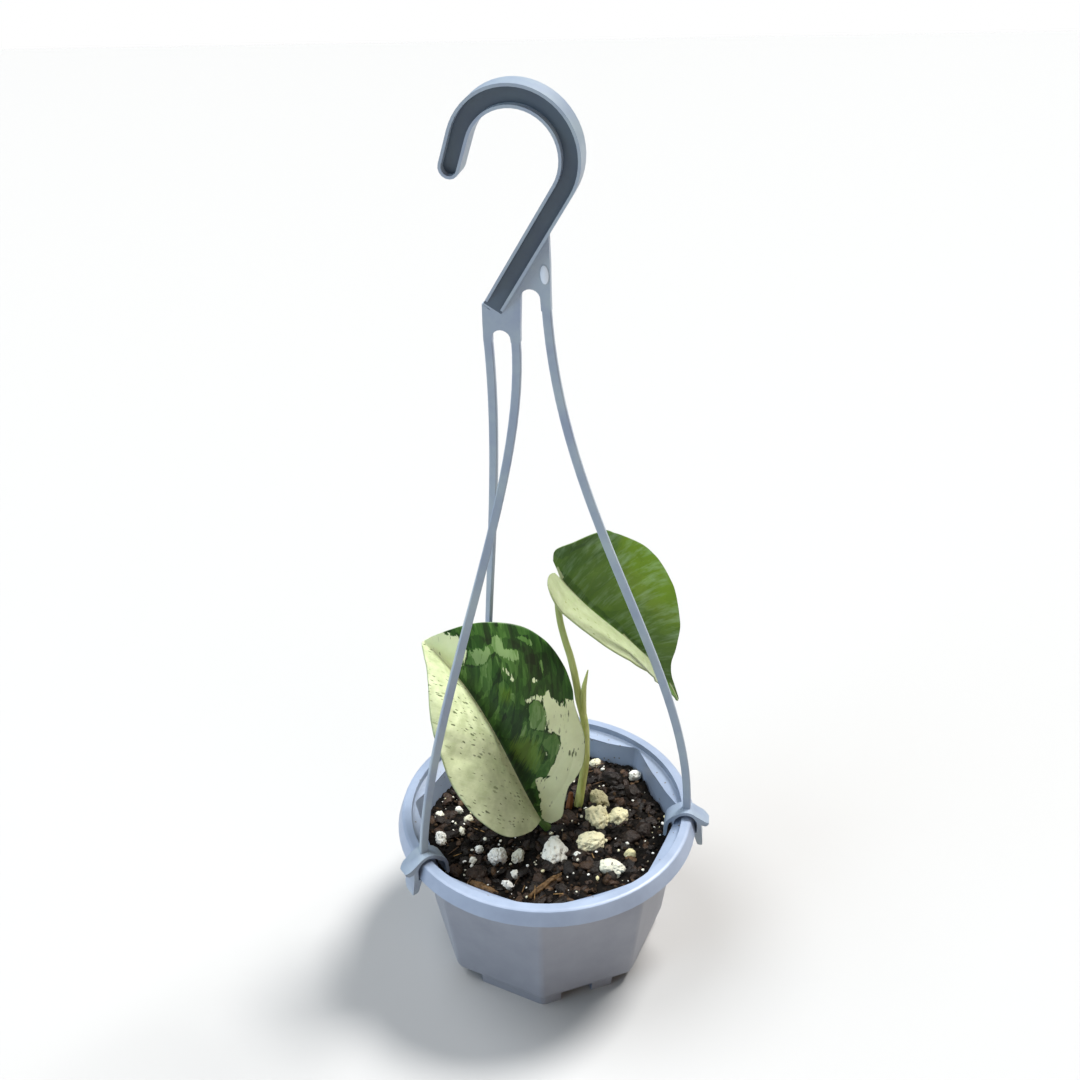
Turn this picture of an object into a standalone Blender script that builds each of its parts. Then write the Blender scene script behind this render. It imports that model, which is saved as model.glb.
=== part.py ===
# Satin pothos in a small octagonal hanging pot, at its real size in metres, +Z up.
# The pot stands on its feet on the surface z = 0. The one-piece hanger is clipped over the rim
# and stands up from it. Two variegated leaves rise from the potting mix.
# Lengths are given in millimetres times MM, angles in degrees.

import math
import random

import bmesh
import bpy
from mathutils import Matrix, Vector, noise

MM = 0.001

# The pot's axis, set off from the origin so that the origin is the middle of the whole footprint
POT_AXIS = Vector((-2.43, 0.0, 0.0)) * MM

# Pot: a round rim over an octagonal, slightly tapered body with eight short feet
RIM_TOP = 63.0 * MM
RIM_RADIUS = 60.0 * MM
RIM_BORE_RADIUS = 54.94 * MM
LIP_RADIUS = 60.78 * MM
LIP_HEIGHT = 5.85 * MM
LIP_THICKNESS = 1.3 * MM
LEDGE_DEPTH = 2.7 * MM
LEDGE_THICKNESS = 1.3 * MM
LEDGE_INNER_RADIUS = 44.0 * MM
BODY_BOTTOM = 4.0 * MM
BODY_TOP = RIM_TOP - LEDGE_DEPTH - 0.4 * MM
BODY_BOTTOM_RADIUS = 48.9 * MM
BODY_TAPER = 0.129
BODY_TURN = 41.6
WALL = 1.62 * MM
FLOOR = 1.4 * MM
CORNER_ROUND = 1.6 * MM
BOTTOM_ROUND = 3.0 * MM
FOOT_RADIUS = 47.2 * MM
FOOT_RING_WIDTH = 3.0 * MM
FOOT_GAPS = ((-76.0, 13.0 * MM), (-47.0, 15.0 * MM))
DRAIN_RADIUS = 3.0 * MM
DRAIN_CIRCLE_RADIUS = 24.0 * MM
RIM_STEPS = 72

# Potting mix: fills the pot to 12 mm below the rim
SEAT_GAP = 0.3 * MM
SOIL_TOP = RIM_TOP - 12.0 * MM
SOIL_RELIEF = 1.1 * MM
SOIL_GRAIN = 9.0 * MM
SOIL_SEED = 7

# Lumps that stick out of the mix: x, y, length, width, height above the mix and turn
PUMICE = (
    (2.6, -17.6, 9.5, 8.0, 4.2, 80), (-43.2, -8.8, 7.0, 4.6, 3.0, 110), (-19.7, -20.5, 7.6, 7.0, 4.0, 0),
    (-11.6, -20.0, 5.8, 4.6, 2.6, 30), (-27.5, -15.0, 3.6, 3.2, 1.8, 0), (-29.5, -22.0, 3.8, 3.2, 1.8, 60),
    (17.7, -12.4, 12.0, 8.6, 4.4, 15), (21.4, 1.4, 9.6, 8.6, 4.2, 120), (29.6, 1.0, 8.8, 6.4, 4.0, 55),
    (22.3, 12.6, 8.4, 7.0, 4.0, 100), (11.8, -19.8, 4.2, 3.6, 2.0, 10), (25.2, -26.4, 11.0, 7.4, 3.6, 160),
    (33.0, -18.9, 4.6, 4.0, 2.4, 0), (39.0, 28.6, 5.8, 4.8, 2.6, 40), (21.9, 36.8, 6.2, 4.8, 2.8, 20),
    (-15.6, -34.4, 5.4, 3.6, 2.2, 150), (-12.8, -28.6, 3.8, 3.4, 2.0, 0), (-45.0, 4.6, 5.0, 4.2, 2.6, 70),
    (-37.0, 8.3, 3.6, 3.2, 2.0, 0), (-32.6, 2.1, 4.4, 3.8, 2.2, 30), (-34.9, -5.0, 3.6, 3.0, 1.8, 90),
    (-22.0, 24.0, 6.4, 5.2, 2.8, 45), (-8.0, 38.0, 7.2, 5.4, 3.0, 130), (4.0, 27.0, 5.0, 4.2, 2.4, 0),
)
BARK = (
    (-24.6, -36.4, 15.0, 4.2, 2.4, -33), (-1.4, -35.4, 19.0, 2.4, 1.8, 44), (-27.6, -29.0, 8.6, 7.0, 3.0, 20),
    (39.3, -5.8, 8.0, 6.4, 3.4, 70), (33.6, -10.4, 8.4, 6.6, 3.0, 10), (37.0, 16.7, 9.0, 6.4, 3.6, 110),
    (28.8, 25.6, 9.6, 6.6, 3.4, 150), (-35.0, 18.0, 10.0, 5.6, 3.0, 60), (12.0, 40.0, 9.0, 5.0, 2.8, 15),
    (-30.0, 30.0, 9.0, 6.0, 3.0, 140), (-14.0, 12.0, 9.0, 5.0, 2.6, 25),
)

# Hanger: hook, plate and three arms lie in one plane, which is turned and leans to the front.
# Places in that plane are (across, up) from HANG_POINT.
HANG_POINT = Vector((-7.5, 5.0, 260.8)) * MM
HOOK_TURN = 15.0
HOOK_LEAN = 12.0
HOOK_CENTRE = Vector((4.2, 53.5)) * MM
HOOK_RADIUS = 17.4 * MM
HOOK_HALF_WIDTH = 3.4 * MM
HOOK_HALF_DEPTH = 3.5 * MM
HOOK_START = 158.3
HOOK_END = -33.3
HOOK_TIP_LENGTH = 10.4 * MM
STEM_LENGTH = 48.5 * MM
STEM_FADE = 12.0 * MM
EDGE_WALL = 0.95 * MM
WEB_HALF_DEPTH = 1.1 * MM
FOOT_HALF_DEPTH = 0.85 * MM
PLATE_HALF_DEPTH = 1.0 * MM
SLOT_RADIUS = 3.25 * MM
GATE_MARK = (11.0, 16.6, 1.7, 3.9)

# Arms: (across, up) where each leaves the plate, the compass angle of its clip, the angle that the
# strip's face ends at, how steeply it still runs outward where it meets the clip, and how far its
# upper half hangs inward
ARMS = (
    ("back", Vector((-10.3, -6.0)) * MM, 117.0, -63.0, 0.5, 0.0),
    ("left", Vector((-0.6, -6.0)) * MM, 213.5, 33.5, 0.35, -0.4),
    ("right", Vector((10.7, 6.0)) * MM, 351.0, -9.0, 0.0, 0.85),
)
ARM_HALF_WIDTH = 1.55 * MM
ARM_HALF_THICKNESS = 0.92 * MM
ARM_STEPS = 30

# Clip: an arch over the rim with a barbed outer tongue, an inner leg and a release tab
CLIP_HALF_WIDTH = 3.5 * MM
CLIP_CENTRE = Vector((56.7, -2.6)) * MM
CLIP_INNER_RADIUS = 4.45 * MM
CLIP_OUTER_RADIUS = 5.8 * MM
CLIP_ARM_HEIGHT = 2.6 * MM

# Leaves. Places in space are millimetres from the middle of the rim's top. The rib is a curve with
# four control points. Each half folds up from the rib: (share of the rib, fold at the rib, fold at
# the margin). Each half's outline is (across, along the rib) in the flat leaf, from the lobe's inner
# corner to beside the tip.
BLADE = 0.75 * MM
LEAF_REACH = 36.0
LEAF_ROWS = 34
LEAF_COLUMNS = 8
RIB_CROWDING = 1.25
COLUMN_CROWDING = 1.4
RIB_ROUND = 2.0
FRONT_LEAF = {
    "rib": ((-2.3, -6.0, -4.8), (-15.0, 0.9, 16.7), (-23.4, 6.4, 49.2), (-46.9, 13.3, 68.9)),
    "faces": (-86.5, 37.1),
    "turn": 20.0,
    "tip": 89.7,
    "left_folds": ((0.0, 50.0, -5.0), (1.0, 50.0, -5.0)),
    "right_folds": ((0.0, 50.0, -9.0), (1.0, 50.0, -9.0)),
    "left": (
        (-12.3, 2.4), (-22.9, 8.1), (-29.8, 19.2), (-33.2, 31.1), (-33.9, 43.6), (-31.6, 56.3), (-29.7, 64.6),
        (-23.5, 74.2), (-11.8, 83.2), (-2.6, 88.8),
    ),
    "right": (
        (3.0, -3.1), (8.7, -2.2), (13.1, 3.5), (17.1, 8.2), (20.6, 9.8), (26.3, 13.8), (30.8, 20.6),
        (32.9, 26.5), (34.7, 36.7), (37.1, 41.7), (38.7, 47.4), (39.1, 52.0), (38.8, 56.9), (37.2, 62.5),
        (32.8, 69.9), (24.1, 77.6), (15.2, 83.1), (2.8, 88.6),
    ),
}
BACK_LEAF = {
    "rib": ((7.0, 21.1, 92.2), (20.9, 20.6, 71.9), (45.9, 22.6, 58.4), (54.7, 19.1, 35.1)),
    "faces": (-95.4, 32.0),
    "turn": -42.0,
    "tip": 75.2,
    "left_folds": ((0.0, 50.0, 6.0), (0.85, 50.0, 6.0), (1.0, 20.0, 6.0)),
    "right_folds": (
        (0.0, 45.0, 11.0), (0.27, 51.0, 17.0), (0.4, 53.0, 19.0), (0.55, 51.5, 17.5), (0.65, 46.0, 12.0),
        (0.72, 37.0, 3.0), (0.8, 27.0, -7.0), (1.0, 17.0, -17.0),
    ),
    "left": (
        (-1.8, -7.6), (-5.3, -10.5), (-13.0, -8.2), (-22.1, -4.9), (-27.4, -0.6), (-34.1, 18.8), (-34.7, 27.7),
        (-33.1, 33.7), (-30.8, 38.5), (-28.1, 42.4), (-21.5, 48.6), (-18.2, 51.6), (-14.2, 54.0), (-10.1, 56.5),
        (-5.7, 59.2), (-2.8, 63.4), (-1.5, 68.6), (-0.7, 74.4),
    ),
    "right": (
        (3.6, -4.8), (10.8, -8.4), (16.7, -10.1), (21.6, -9.9), (24.9, -7.3), (26.6, -3.6), (27.2, 1.4),
        (28.9, 7.0), (30.9, 13.6), (32.8, 20.9), (32.5, 30.6), (29.4, 38.4), (24.2, 45.0), (18.6, 50.2),
        (12.8, 55.2), (8.0, 60.2), (4.6, 66.6), (1.8, 71.4), (0.7, 74.4),
    ),
}

# Stems: places from the middle of the rim's top with a radius; each starts in a hole in the mix
STEM_SIDES = 10
STEM_STEPS = 22
HOLE_GAP = 0.3 * MM
HOLE_LENGTH = 20.0 * MM
BACK_STEM = (
    (12.0, 9.6, -21.6, 1.9), (13.5, 11.4, -11.9, 1.9), (14.5, 12.6, -5.5, 1.8), (15.6, 13.8, 1.6, 1.75),
    (16.5, 14.9, 8.6, 1.7), (16.6, 15.7, 14.5, 1.7), (16.5, 16.9, 22.6, 1.65), (15.6, 18.0, 29.4, 1.6),
    (14.0, 19.0, 36.2, 1.55), (13.0, 19.8, 43.1, 1.5), (11.8, 20.4, 50.0, 1.5), (10.3, 20.8, 57.0, 1.45),
    (8.4, 21.3, 63.8, 1.4), (6.6, 21.9, 71.7, 1.35), (5.8, 22.7, 78.3, 1.35), (5.7, 23.2, 84.5, 1.4),
    (5.9, 22.3, 91.0, 1.2),
)
SPEAR = (
    (16.2, 17.3, 24.0, 0.8), (15.8, 17.8, 30.0, 1.2), (15.6, 17.7, 36.2, 1.3), (15.9, 17.8, 43.0, 1.05),
    (16.6, 18.2, 46.9, 0.7), (17.5, 18.6, 51.1, 0.25),
)
FRONT_STEM = (
    (6.4, -2.1, -20.2, 1.8), (0.8, -3.5, -12.0, 1.8), (-1.0, -3.9, -9.5, 1.6), (-3.2, -4.5, -6.1, 1.25),
)
DRIED_STUB = (
    (7.7, 8.0, -21.0, 1.3), (9.3, 9.6, -12.0, 1.3), (9.9, 10.2, -8.6, 1.2), (10.3, 10.6, -5.2, 0.9),
)


def clear_scene():
    for item in list(bpy.data.objects):
        bpy.data.objects.remove(item)


def new_collection(name):
    group = bpy.data.collections.new(name)
    bpy.context.scene.collection.children.link(group)
    return group


def plain_material(name, colour, roughness):
    material = bpy.data.materials.new(name)
    material.use_nodes = True
    shader = material.node_tree.nodes["Principled BSDF"]
    shader.inputs["Base Color"].default_value = (*colour, 1.0)
    shader.inputs["Roughness"].default_value = roughness
    shader.inputs["Metallic"].default_value = 0.0
    return material


def object_from_bmesh(name, shape, group):
    bmesh.ops.recalc_face_normals(shape, faces=shape.faces)
    mesh = bpy.data.meshes.new(name)
    shape.to_mesh(mesh)
    shape.free()
    item = bpy.data.objects.new(name, mesh)
    group.objects.link(item)
    return item


def mesh_copy(item, group):
    # Turns an object with its modifiers, or a curve, into a welded mesh object of the same name
    graph = bpy.context.evaluated_depsgraph_get()
    mesh = bpy.data.meshes.new_from_object(item.evaluated_get(graph), depsgraph=graph)
    shape = bmesh.new()
    shape.from_mesh(mesh)
    bmesh.ops.remove_doubles(shape, verts=shape.verts, dist=0.001 * MM)
    bmesh.ops.transform(shape, matrix=item.matrix_world, verts=shape.verts)
    name = item.name
    bpy.data.objects.remove(item)
    return object_from_bmesh(name, shape, group)


def boolean(item, tool, operation, group):
    # One Boolean of an object with another object or a collection; the tools are then removed
    modifier = item.modifiers.new(operation.title(), "BOOLEAN")
    modifier.operation = operation
    modifier.solver = "EXACT"
    if isinstance(tool, bpy.types.Collection):
        modifier.operand_type = "COLLECTION"
        modifier.collection = tool
        tools = list(tool.objects)
    else:
        modifier.object = tool
        tools = [tool]
    result = mesh_copy(item, group)
    for used in tools:
        bpy.data.objects.remove(used)
    return result


def as_cutter(item):
    item.hide_render = True
    item.display_type = "WIRE"
    return item


def flat_solid(name, outline, half_depth, group):
    # A closed outline of (x, y) places, extruded to both sides of z = 0
    curve = bpy.data.curves.new(name, "CURVE")
    curve.dimensions = "2D"
    curve.fill_mode = "BOTH"
    curve.extrude = half_depth
    spline = curve.splines.new("POLY")
    spline.points.add(len(outline) - 1)
    for point, place in zip(spline.points, outline):
        point.co = (place[0], place[1], 0.0, 1.0)
    spline.use_cyclic_u = True
    item = bpy.data.objects.new(name, curve)
    group.objects.link(item)
    return mesh_copy(item, group)


def arc(centre, radius, start, end, steps):
    places = []
    for step in range(steps + 1):
        angle = math.radians(start + (end - start) * step / steps)
        places.append(Vector((centre[0] + radius * math.cos(angle), centre[1] + radius * math.sin(angle))))
    return places


def loft(name, rings, group):
    # A tube whose cross-sections are the given rings of places, made by extruding one face along them
    shape = bmesh.new()
    corners = [shape.verts.new(place) for place in rings[0]]
    shape.faces.new(corners)
    face = shape.faces[:][0]
    for ring in rings[1:]:
        new = bmesh.ops.extrude_discrete_faces(shape, faces=[face])["faces"][0]
        for corner, place in zip(new.verts, ring):
            corner.co = place
        face = new
    shape.faces.new(reversed(corners))
    bmesh.ops.triangulate(shape, faces=shape.faces)
    return object_from_bmesh(name, shape, group)


def curve_point(points, share):
    # A cubic Bezier curve through four control points, at a share of its length
    a, b, c, d = points
    rest = 1.0 - share
    return a * rest**3 + b * 3 * rest**2 * share + c * 3 * rest * share**2 + d * share**3


def smooth_through(points, count):
    # Evenly many places on a smooth curve through the given points
    places = []
    last = len(points) - 1
    for step in range(count + 1):
        where = step / count * last
        index = min(int(where), last - 1)
        share = where - index
        before = points[max(index - 1, 0)]
        a = points[index]
        b = points[index + 1]
        after = points[min(index + 2, last)]
        slope_a = (b - before) * 0.5
        slope_b = (after - a) * 0.5
        s2 = share * share
        s3 = s2 * share
        places.append(
            a * (2 * s3 - 3 * s2 + 1) + slope_a * (s3 - 2 * s2 + share) + b * (3 * s2 - 2 * s3) + slope_b * (s3 - s2)
        )
    return places


def spaced_evenly(places, count):
    # Resamples a run of places so that they lie equally far apart along it
    lengths = [0.0]
    for here, after in zip(places, places[1:]):
        lengths.append(lengths[-1] + (after - here).length)
    spaced = []
    index = 0
    for step in range(count + 1):
        wanted = lengths[-1] * step / count
        while index < len(places) - 2 and lengths[index + 1] < wanted:
            index += 1
        share = (wanted - lengths[index]) / (lengths[index + 1] - lengths[index])
        spaced.append(places[index].lerp(places[index + 1], share))
    return spaced


def octagon_solid(name, bottom, top, inset, corner_round, bottom_round, group):
    # An eight-sided tapered solid that follows the body's taper, set in from it by inset
    radius_low = BODY_BOTTOM_RADIUS + (bottom - BODY_BOTTOM) * BODY_TAPER - inset
    radius_high = BODY_BOTTOM_RADIUS + (top - BODY_BOTTOM) * BODY_TAPER - inset
    shape = bmesh.new()
    bmesh.ops.create_cone(
        shape, cap_ends=True, segments=8, radius1=radius_low, radius2=radius_high, depth=top - bottom
    )
    bmesh.ops.translate(shape, verts=shape.verts, vec=(0.0, 0.0, (top + bottom) / 2))
    first = shape.verts[:][0].co
    turn = math.radians(BODY_TURN) - math.atan2(first.y, first.x)
    bmesh.ops.rotate(shape, verts=shape.verts, cent=(0, 0, 0), matrix=Matrix.Rotation(turn, 3, "Z"))
    upright = [edge for edge in shape.edges if abs(edge.verts[0].co.z - edge.verts[1].co.z) > MM]
    bmesh.ops.bevel(
        shape, geom=upright, offset=corner_round, segments=2, profile=0.5, affect="EDGES", offset_type="OFFSET"
    )
    if bottom_round:
        low = [edge for edge in shape.edges if max(vert.co.z for vert in edge.verts) < bottom + 0.01 * MM]
        bmesh.ops.bevel(
            shape, geom=low, offset=bottom_round, segments=3, profile=0.5, affect="EDGES", offset_type="OFFSET"
        )
    return object_from_bmesh(name, shape, group)


def rim_ring(group):
    # Profile of the rim, down its outer side: rounded top, lip skirt, hollow underside and inner ledge
    lip_bottom = RIM_TOP - LIP_HEIGHT
    top_under = RIM_TOP - LIP_THICKNESS
    ledge_top = RIM_TOP - LEDGE_DEPTH
    ledge_under = ledge_top - LEDGE_THICKNESS
    step_outer = RIM_BORE_RADIUS + LIP_THICKNESS
    round_off = 0.5 * MM
    profile = (
        (RIM_BORE_RADIUS + round_off, RIM_TOP),
        (RIM_RADIUS - round_off, RIM_TOP),
        (RIM_RADIUS - 0.15 * round_off, RIM_TOP - 0.3 * round_off),
        (RIM_RADIUS + 0.1 * MM, RIM_TOP - round_off),
        (LIP_RADIUS, lip_bottom),
        (LIP_RADIUS - LIP_THICKNESS, lip_bottom),
        (RIM_RADIUS - LIP_THICKNESS, top_under),
        (step_outer, top_under),
        (step_outer, ledge_under),
        (LEDGE_INNER_RADIUS, ledge_under),
        (LEDGE_INNER_RADIUS, ledge_top),
        (RIM_BORE_RADIUS, ledge_top),
        (RIM_BORE_RADIUS, RIM_TOP - round_off),
        (RIM_BORE_RADIUS + 0.3 * round_off, RIM_TOP - 0.15 * round_off),
    )
    shape = bmesh.new()
    corners = [shape.verts.new((radius, 0.0, height)) for radius, height in profile]
    for index, corner in enumerate(corners):
        shape.edges.new((corner, corners[(index + 1) % len(corners)]))
    mesh = bpy.data.meshes.new("rim_ring")
    shape.to_mesh(mesh)
    shape.free()
    item = bpy.data.objects.new("rim_ring", mesh)
    group.objects.link(item)
    screw = item.modifiers.new("Screw", "SCREW")
    screw.steps = RIM_STEPS
    screw.render_steps = RIM_STEPS
    screw.use_merge_vertices = True
    screw.merge_threshold = 0.0001
    return mesh_copy(item, group)


def foot_ring(group, cutters):
    # A low ring under the base, cut into four wide and four small feet
    height = BODY_BOTTOM + 1.5 * MM
    inset = BODY_BOTTOM_RADIUS - BODY_BOTTOM * BODY_TAPER - FOOT_RADIUS
    ring = octagon_solid("foot_ring", 0.0, height, inset, CORNER_ROUND, 0.0, group)
    inside = octagon_solid("foot_inside", -MM, height + MM, inset + FOOT_RING_WIDTH, CORNER_ROUND, 0.0, cutters)
    ring = boolean(ring, as_cutter(inside), "DIFFERENCE", group)
    gaps = bmesh.new()
    for quarter in range(4):
        for angle, width in FOOT_GAPS:
            place = Matrix.Rotation(math.radians(angle + 90 * quarter), 4, "Z")
            place = place @ Matrix.Translation((FOOT_RADIUS - 2 * MM, 0.0, height / 2))
            place = place @ Matrix.Diagonal((16 * MM, width, height * 2, 1.0))
            bmesh.ops.create_cube(gaps, size=1.0, matrix=place)
    return boolean(ring, as_cutter(object_from_bmesh("foot_gaps", gaps, cutters)), "DIFFERENCE", group)


def make_pot(parts, cutters, material):
    body = octagon_solid("pot", BODY_BOTTOM, BODY_TOP, 0.0, CORNER_ROUND, BOTTOM_ROUND, parts)
    body = boolean(body, foot_ring(parts, cutters), "UNION", parts)
    body = boolean(body, rim_ring(cutters), "UNION", parts)
    inside = octagon_solid(
        "pot_inside", BODY_BOTTOM + FLOOR, RIM_TOP + 5 * MM, WALL, CORNER_ROUND, BOTTOM_ROUND - FLOOR, cutters
    )
    body = boolean(body, as_cutter(inside), "DIFFERENCE", parts)
    drains = bmesh.new()
    places = [Vector((0.0, 0.0, 0.0))]
    for quarter in range(4):
        angle = math.radians(BODY_TURN + 90 * quarter)
        places.append(Vector((math.cos(angle), math.sin(angle), 0.0)) * DRAIN_CIRCLE_RADIUS)
    for place in places:
        bmesh.ops.create_cone(
            drains,
            cap_ends=True,
            segments=16,
            radius1=DRAIN_RADIUS,
            radius2=DRAIN_RADIUS,
            depth=4 * FLOOR,
            matrix=Matrix.Translation(place + Vector((0.0, 0.0, BODY_BOTTOM))),
        )
    body = boolean(body, as_cutter(object_from_bmesh("drains", drains, cutters)), "DIFFERENCE", parts)
    body.name = "pot"
    body.data.materials.append(material)
    return body


def hook_outline(half_width, end_extra):
    # The hook's outline at a half width: round tip, straight lead-in, arc and straight stem
    start = math.radians(HOOK_START)
    lead = Vector((-math.sin(start), math.cos(start)))
    arc_start = HOOK_CENTRE + Vector((math.cos(start), math.sin(start))) * HOOK_RADIUS
    tip = arc_start + lead * HOOK_TIP_LENGTH
    end = math.radians(HOOK_END)
    run = Vector((math.sin(end), -math.cos(end)))
    side = Vector((-run.y, run.x))
    arc_end = HOOK_CENTRE + Vector((math.cos(end), math.sin(end))) * HOOK_RADIUS
    foot = arc_end + run * (STEM_LENGTH + end_extra)
    tip_round = arc(tip, half_width, HOOK_START - 180, HOOK_START - 360, 8)
    outer = arc(HOOK_CENTRE, HOOK_RADIUS + half_width, HOOK_START, HOOK_END, 30)
    inner = arc(HOOK_CENTRE, HOOK_RADIUS - half_width, HOOK_END, HOOK_START, 24)
    return tip_round + outer + [foot + side * half_width, foot - side * half_width] + inner


def make_hook(group, cutters):
    # A channel on both faces: a solid outline less two pockets that leave a web between them
    body = flat_solid("hook", hook_outline(HOOK_HALF_WIDTH, 0.0), HOOK_HALF_DEPTH, group)
    pocket_outline = hook_outline(HOOK_HALF_WIDTH - EDGE_WALL, 8 * MM)
    pocket_depth = HOOK_HALF_DEPTH - WEB_HALF_DEPTH + MM
    for side in (1.0, -1.0):
        pocket = flat_solid("pocket", pocket_outline, pocket_depth / 2, cutters)
        pocket.data.transform(Matrix.Translation((0.0, 0.0, side * (WEB_HALF_DEPTH + pocket_depth / 2))))
        body = boolean(body, as_cutter(pocket), "DIFFERENCE", group)
    # The edge walls and the web fade into the plate at the stem's foot
    end = math.radians(HOOK_END)
    run = Vector((math.sin(end), -math.cos(end)))
    foot = HOOK_CENTRE + Vector((math.cos(end), math.sin(end))) * HOOK_RADIUS + run * STEM_LENGTH
    fade_angle = math.atan2(HOOK_HALF_DEPTH - FOOT_HALF_DEPTH, STEM_FADE)
    along = Matrix.Rotation(math.atan2(run.y, run.x), 4, "Z")
    for side in (1.0, -1.0):
        wedge = bmesh.new()
        size = Matrix.Diagonal((6 * STEM_FADE, 20 * MM, 10 * MM, 1.0))
        tilt = Matrix.Rotation(side * fade_angle, 4, "Y")
        lift = Matrix.Translation((0.0, 0.0, side * 5 * MM))
        place = Matrix.Translation((foot.x, foot.y, side * FOOT_HALF_DEPTH)) @ along @ tilt @ lift @ size
        bmesh.ops.create_cube(wedge, size=1.0, matrix=place)
        body = boolean(body, as_cutter(object_from_bmesh("fade", wedge, cutters)), "DIFFERENCE", group)
    return body


def plate_outline():
    # The flat plate below the stem, with the round-topped slots that part the three arms
    slot_left = Vector((-5.5, -6.8)) * MM
    slot_right = Vector((5.75, 8.2)) * MM
    places = [Vector((-10.9, 5.6)) * MM, Vector((-11.4, -1.0)) * MM, Vector((-11.75, -8.0)) * MM]
    places.append(Vector((slot_left.x - SLOT_RADIUS, -8.0 * MM)))
    places += arc(slot_left, SLOT_RADIUS, 180, 0, 10)
    places.append(Vector((slot_left.x + SLOT_RADIUS, -8.0 * MM)))
    places += [Vector((1.0, -8.0)) * MM, Vector((1.5, -2.0)) * MM]
    places += arc(slot_right, SLOT_RADIUS, 180, 0, 10)
    places += [Vector((slot_right.x + SLOT_RADIUS, 4.0 * MM)), Vector((12.3, 4.0)) * MM]
    places += [Vector((12.5, 11.0)) * MM, Vector((12.95, 20.0)) * MM, Vector((13.1, 29.2)) * MM]
    places += [Vector((10.9, 31.4)) * MM, Vector((-8.4, 3.6)) * MM]
    return places


def hanger_frame():
    # Turns places in the hanger's plane (across, up, to the front) into places round the pot
    turn = math.radians(HOOK_TURN)
    lean = math.radians(HOOK_LEAN)
    across = Vector((math.cos(turn), -math.sin(turn), 0.0))
    behind = Vector((math.sin(turn) * math.cos(lean), math.cos(turn) * math.cos(lean), math.sin(lean)))
    up = across.cross(behind)
    return Matrix.Translation(HANG_POINT) @ Matrix((across, up, -behind)).transposed().to_4x4()


def arm_path(start, clip_angle, end_slope, inward):
    # From the plate down to the clip: straight down at first, then out to the rim
    frame = hanger_frame()
    top = frame @ Vector((start.x, start.y, 0.0))
    down = frame.to_3x3() @ Vector((0.0, -1.0, 0.0))
    angle = math.radians(clip_angle)
    end = Vector((math.cos(angle), math.sin(angle), 0.0)) * CLIP_CENTRE.x
    end.z = RIM_TOP + CLIP_ARM_HEIGHT
    drop = top.z - end.z
    lead = Vector((down.x, down.y, 0.0)) / -down.z * drop
    places = []
    for step in range(ARM_STEPS + 1):
        t = step / ARM_STEPS
        out = (3 - end_slope) * t**2 - (2 - end_slope) * t**3 - inward * t**2 * (1 - t) ** 3
        place = top + (end - top) * out + lead * t * (1 - t) ** 3
        place.z = top.z - drop * t
        places.append(place)
    return places


def make_arm(name, start, clip_angle, clip_face, end_slope, inward, group):
    # A flat strip that twists from the plate's plane to the clip's plane
    places = arm_path(start, clip_angle, end_slope, inward)
    edge = 0.35 * ARM_HALF_THICKNESS
    wall = ARM_HALF_THICKNESS - edge
    flat = ARM_HALF_WIDTH - edge
    profile = (
        (ARM_HALF_WIDTH, -wall),
        (ARM_HALF_WIDTH, wall),
        (flat, ARM_HALF_THICKNESS),
        (-flat, ARM_HALF_THICKNESS),
        (-ARM_HALF_WIDTH, wall),
        (-ARM_HALF_WIDTH, -wall),
        (-flat, -ARM_HALF_THICKNESS),
        (flat, -ARM_HALF_THICKNESS),
    )
    rings = []
    for step, place in enumerate(places):
        before = places[max(step - 1, 0)]
        after = places[min(step + 1, ARM_STEPS)]
        run = (after - before).normalized()
        share = step / ARM_STEPS
        ease = share * share * (3 - 2 * share)
        angle = math.radians(-HOOK_TURN + (clip_face + HOOK_TURN) * ease)
        wide = Vector((math.cos(angle), math.sin(angle), 0.0))
        wide = (wide - run * wide.dot(run)).normalized()
        thick = run.cross(wide)
        rings.append([place + wide * out + thick * rise for out, rise in profile])
    return loft(name, rings, group)


def clip_outline():
    # Radius and height from the rim's top: tongue, barb, arch over the rim, inner leg and tab
    inner = arc(CLIP_CENTRE, CLIP_INNER_RADIUS, 0, 130, 9)
    outer = arc(CLIP_CENTRE, CLIP_OUTER_RADIUS, 128, 48, 8)
    tongue = [(61.25, -6.4), (60.05, -6.4), (59.95, -7.1), (60.8, -9.4), (61.9, -13.2), (62.4, -14.0)]
    tongue += [(63.2, -14.0), (63.8, -13.3), (63.7, -10.5), (63.1, -6.0), (62.7, -2.4)]
    tab = [(64.9, -3.1), (65.7, -2.8), (65.9, -2.0), (63.6, -0.1)]
    leg_out = [(52.1, -0.9), (50.1, -2.7), (49.6, -4.2), (49.15, -9.0)]
    leg_in = [(48.6, -9.6), (47.9, -9.0), (48.3, -3.8), (49.0, -1.8), (50.8, 0.3)]
    outside = [Vector(place) * MM for place in tongue + tab]
    leg = [Vector(place) * MM for place in leg_in[::-1] + leg_out[::-1]]
    return outside + outer[::-1] + leg + inner[::-1]


def make_clip(clip_angle, group):
    clip = flat_solid("clip", clip_outline(), CLIP_HALF_WIDTH, group)
    angle = math.radians(clip_angle)
    out = Vector((math.cos(angle), math.sin(angle), 0.0))
    up = Vector((0.0, 0.0, 1.0))
    turn = Matrix((out, up, out.cross(up))).transposed().to_4x4()
    clip.data.transform(Matrix.Translation((0.0, 0.0, RIM_TOP)) @ turn)
    return clip


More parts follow.
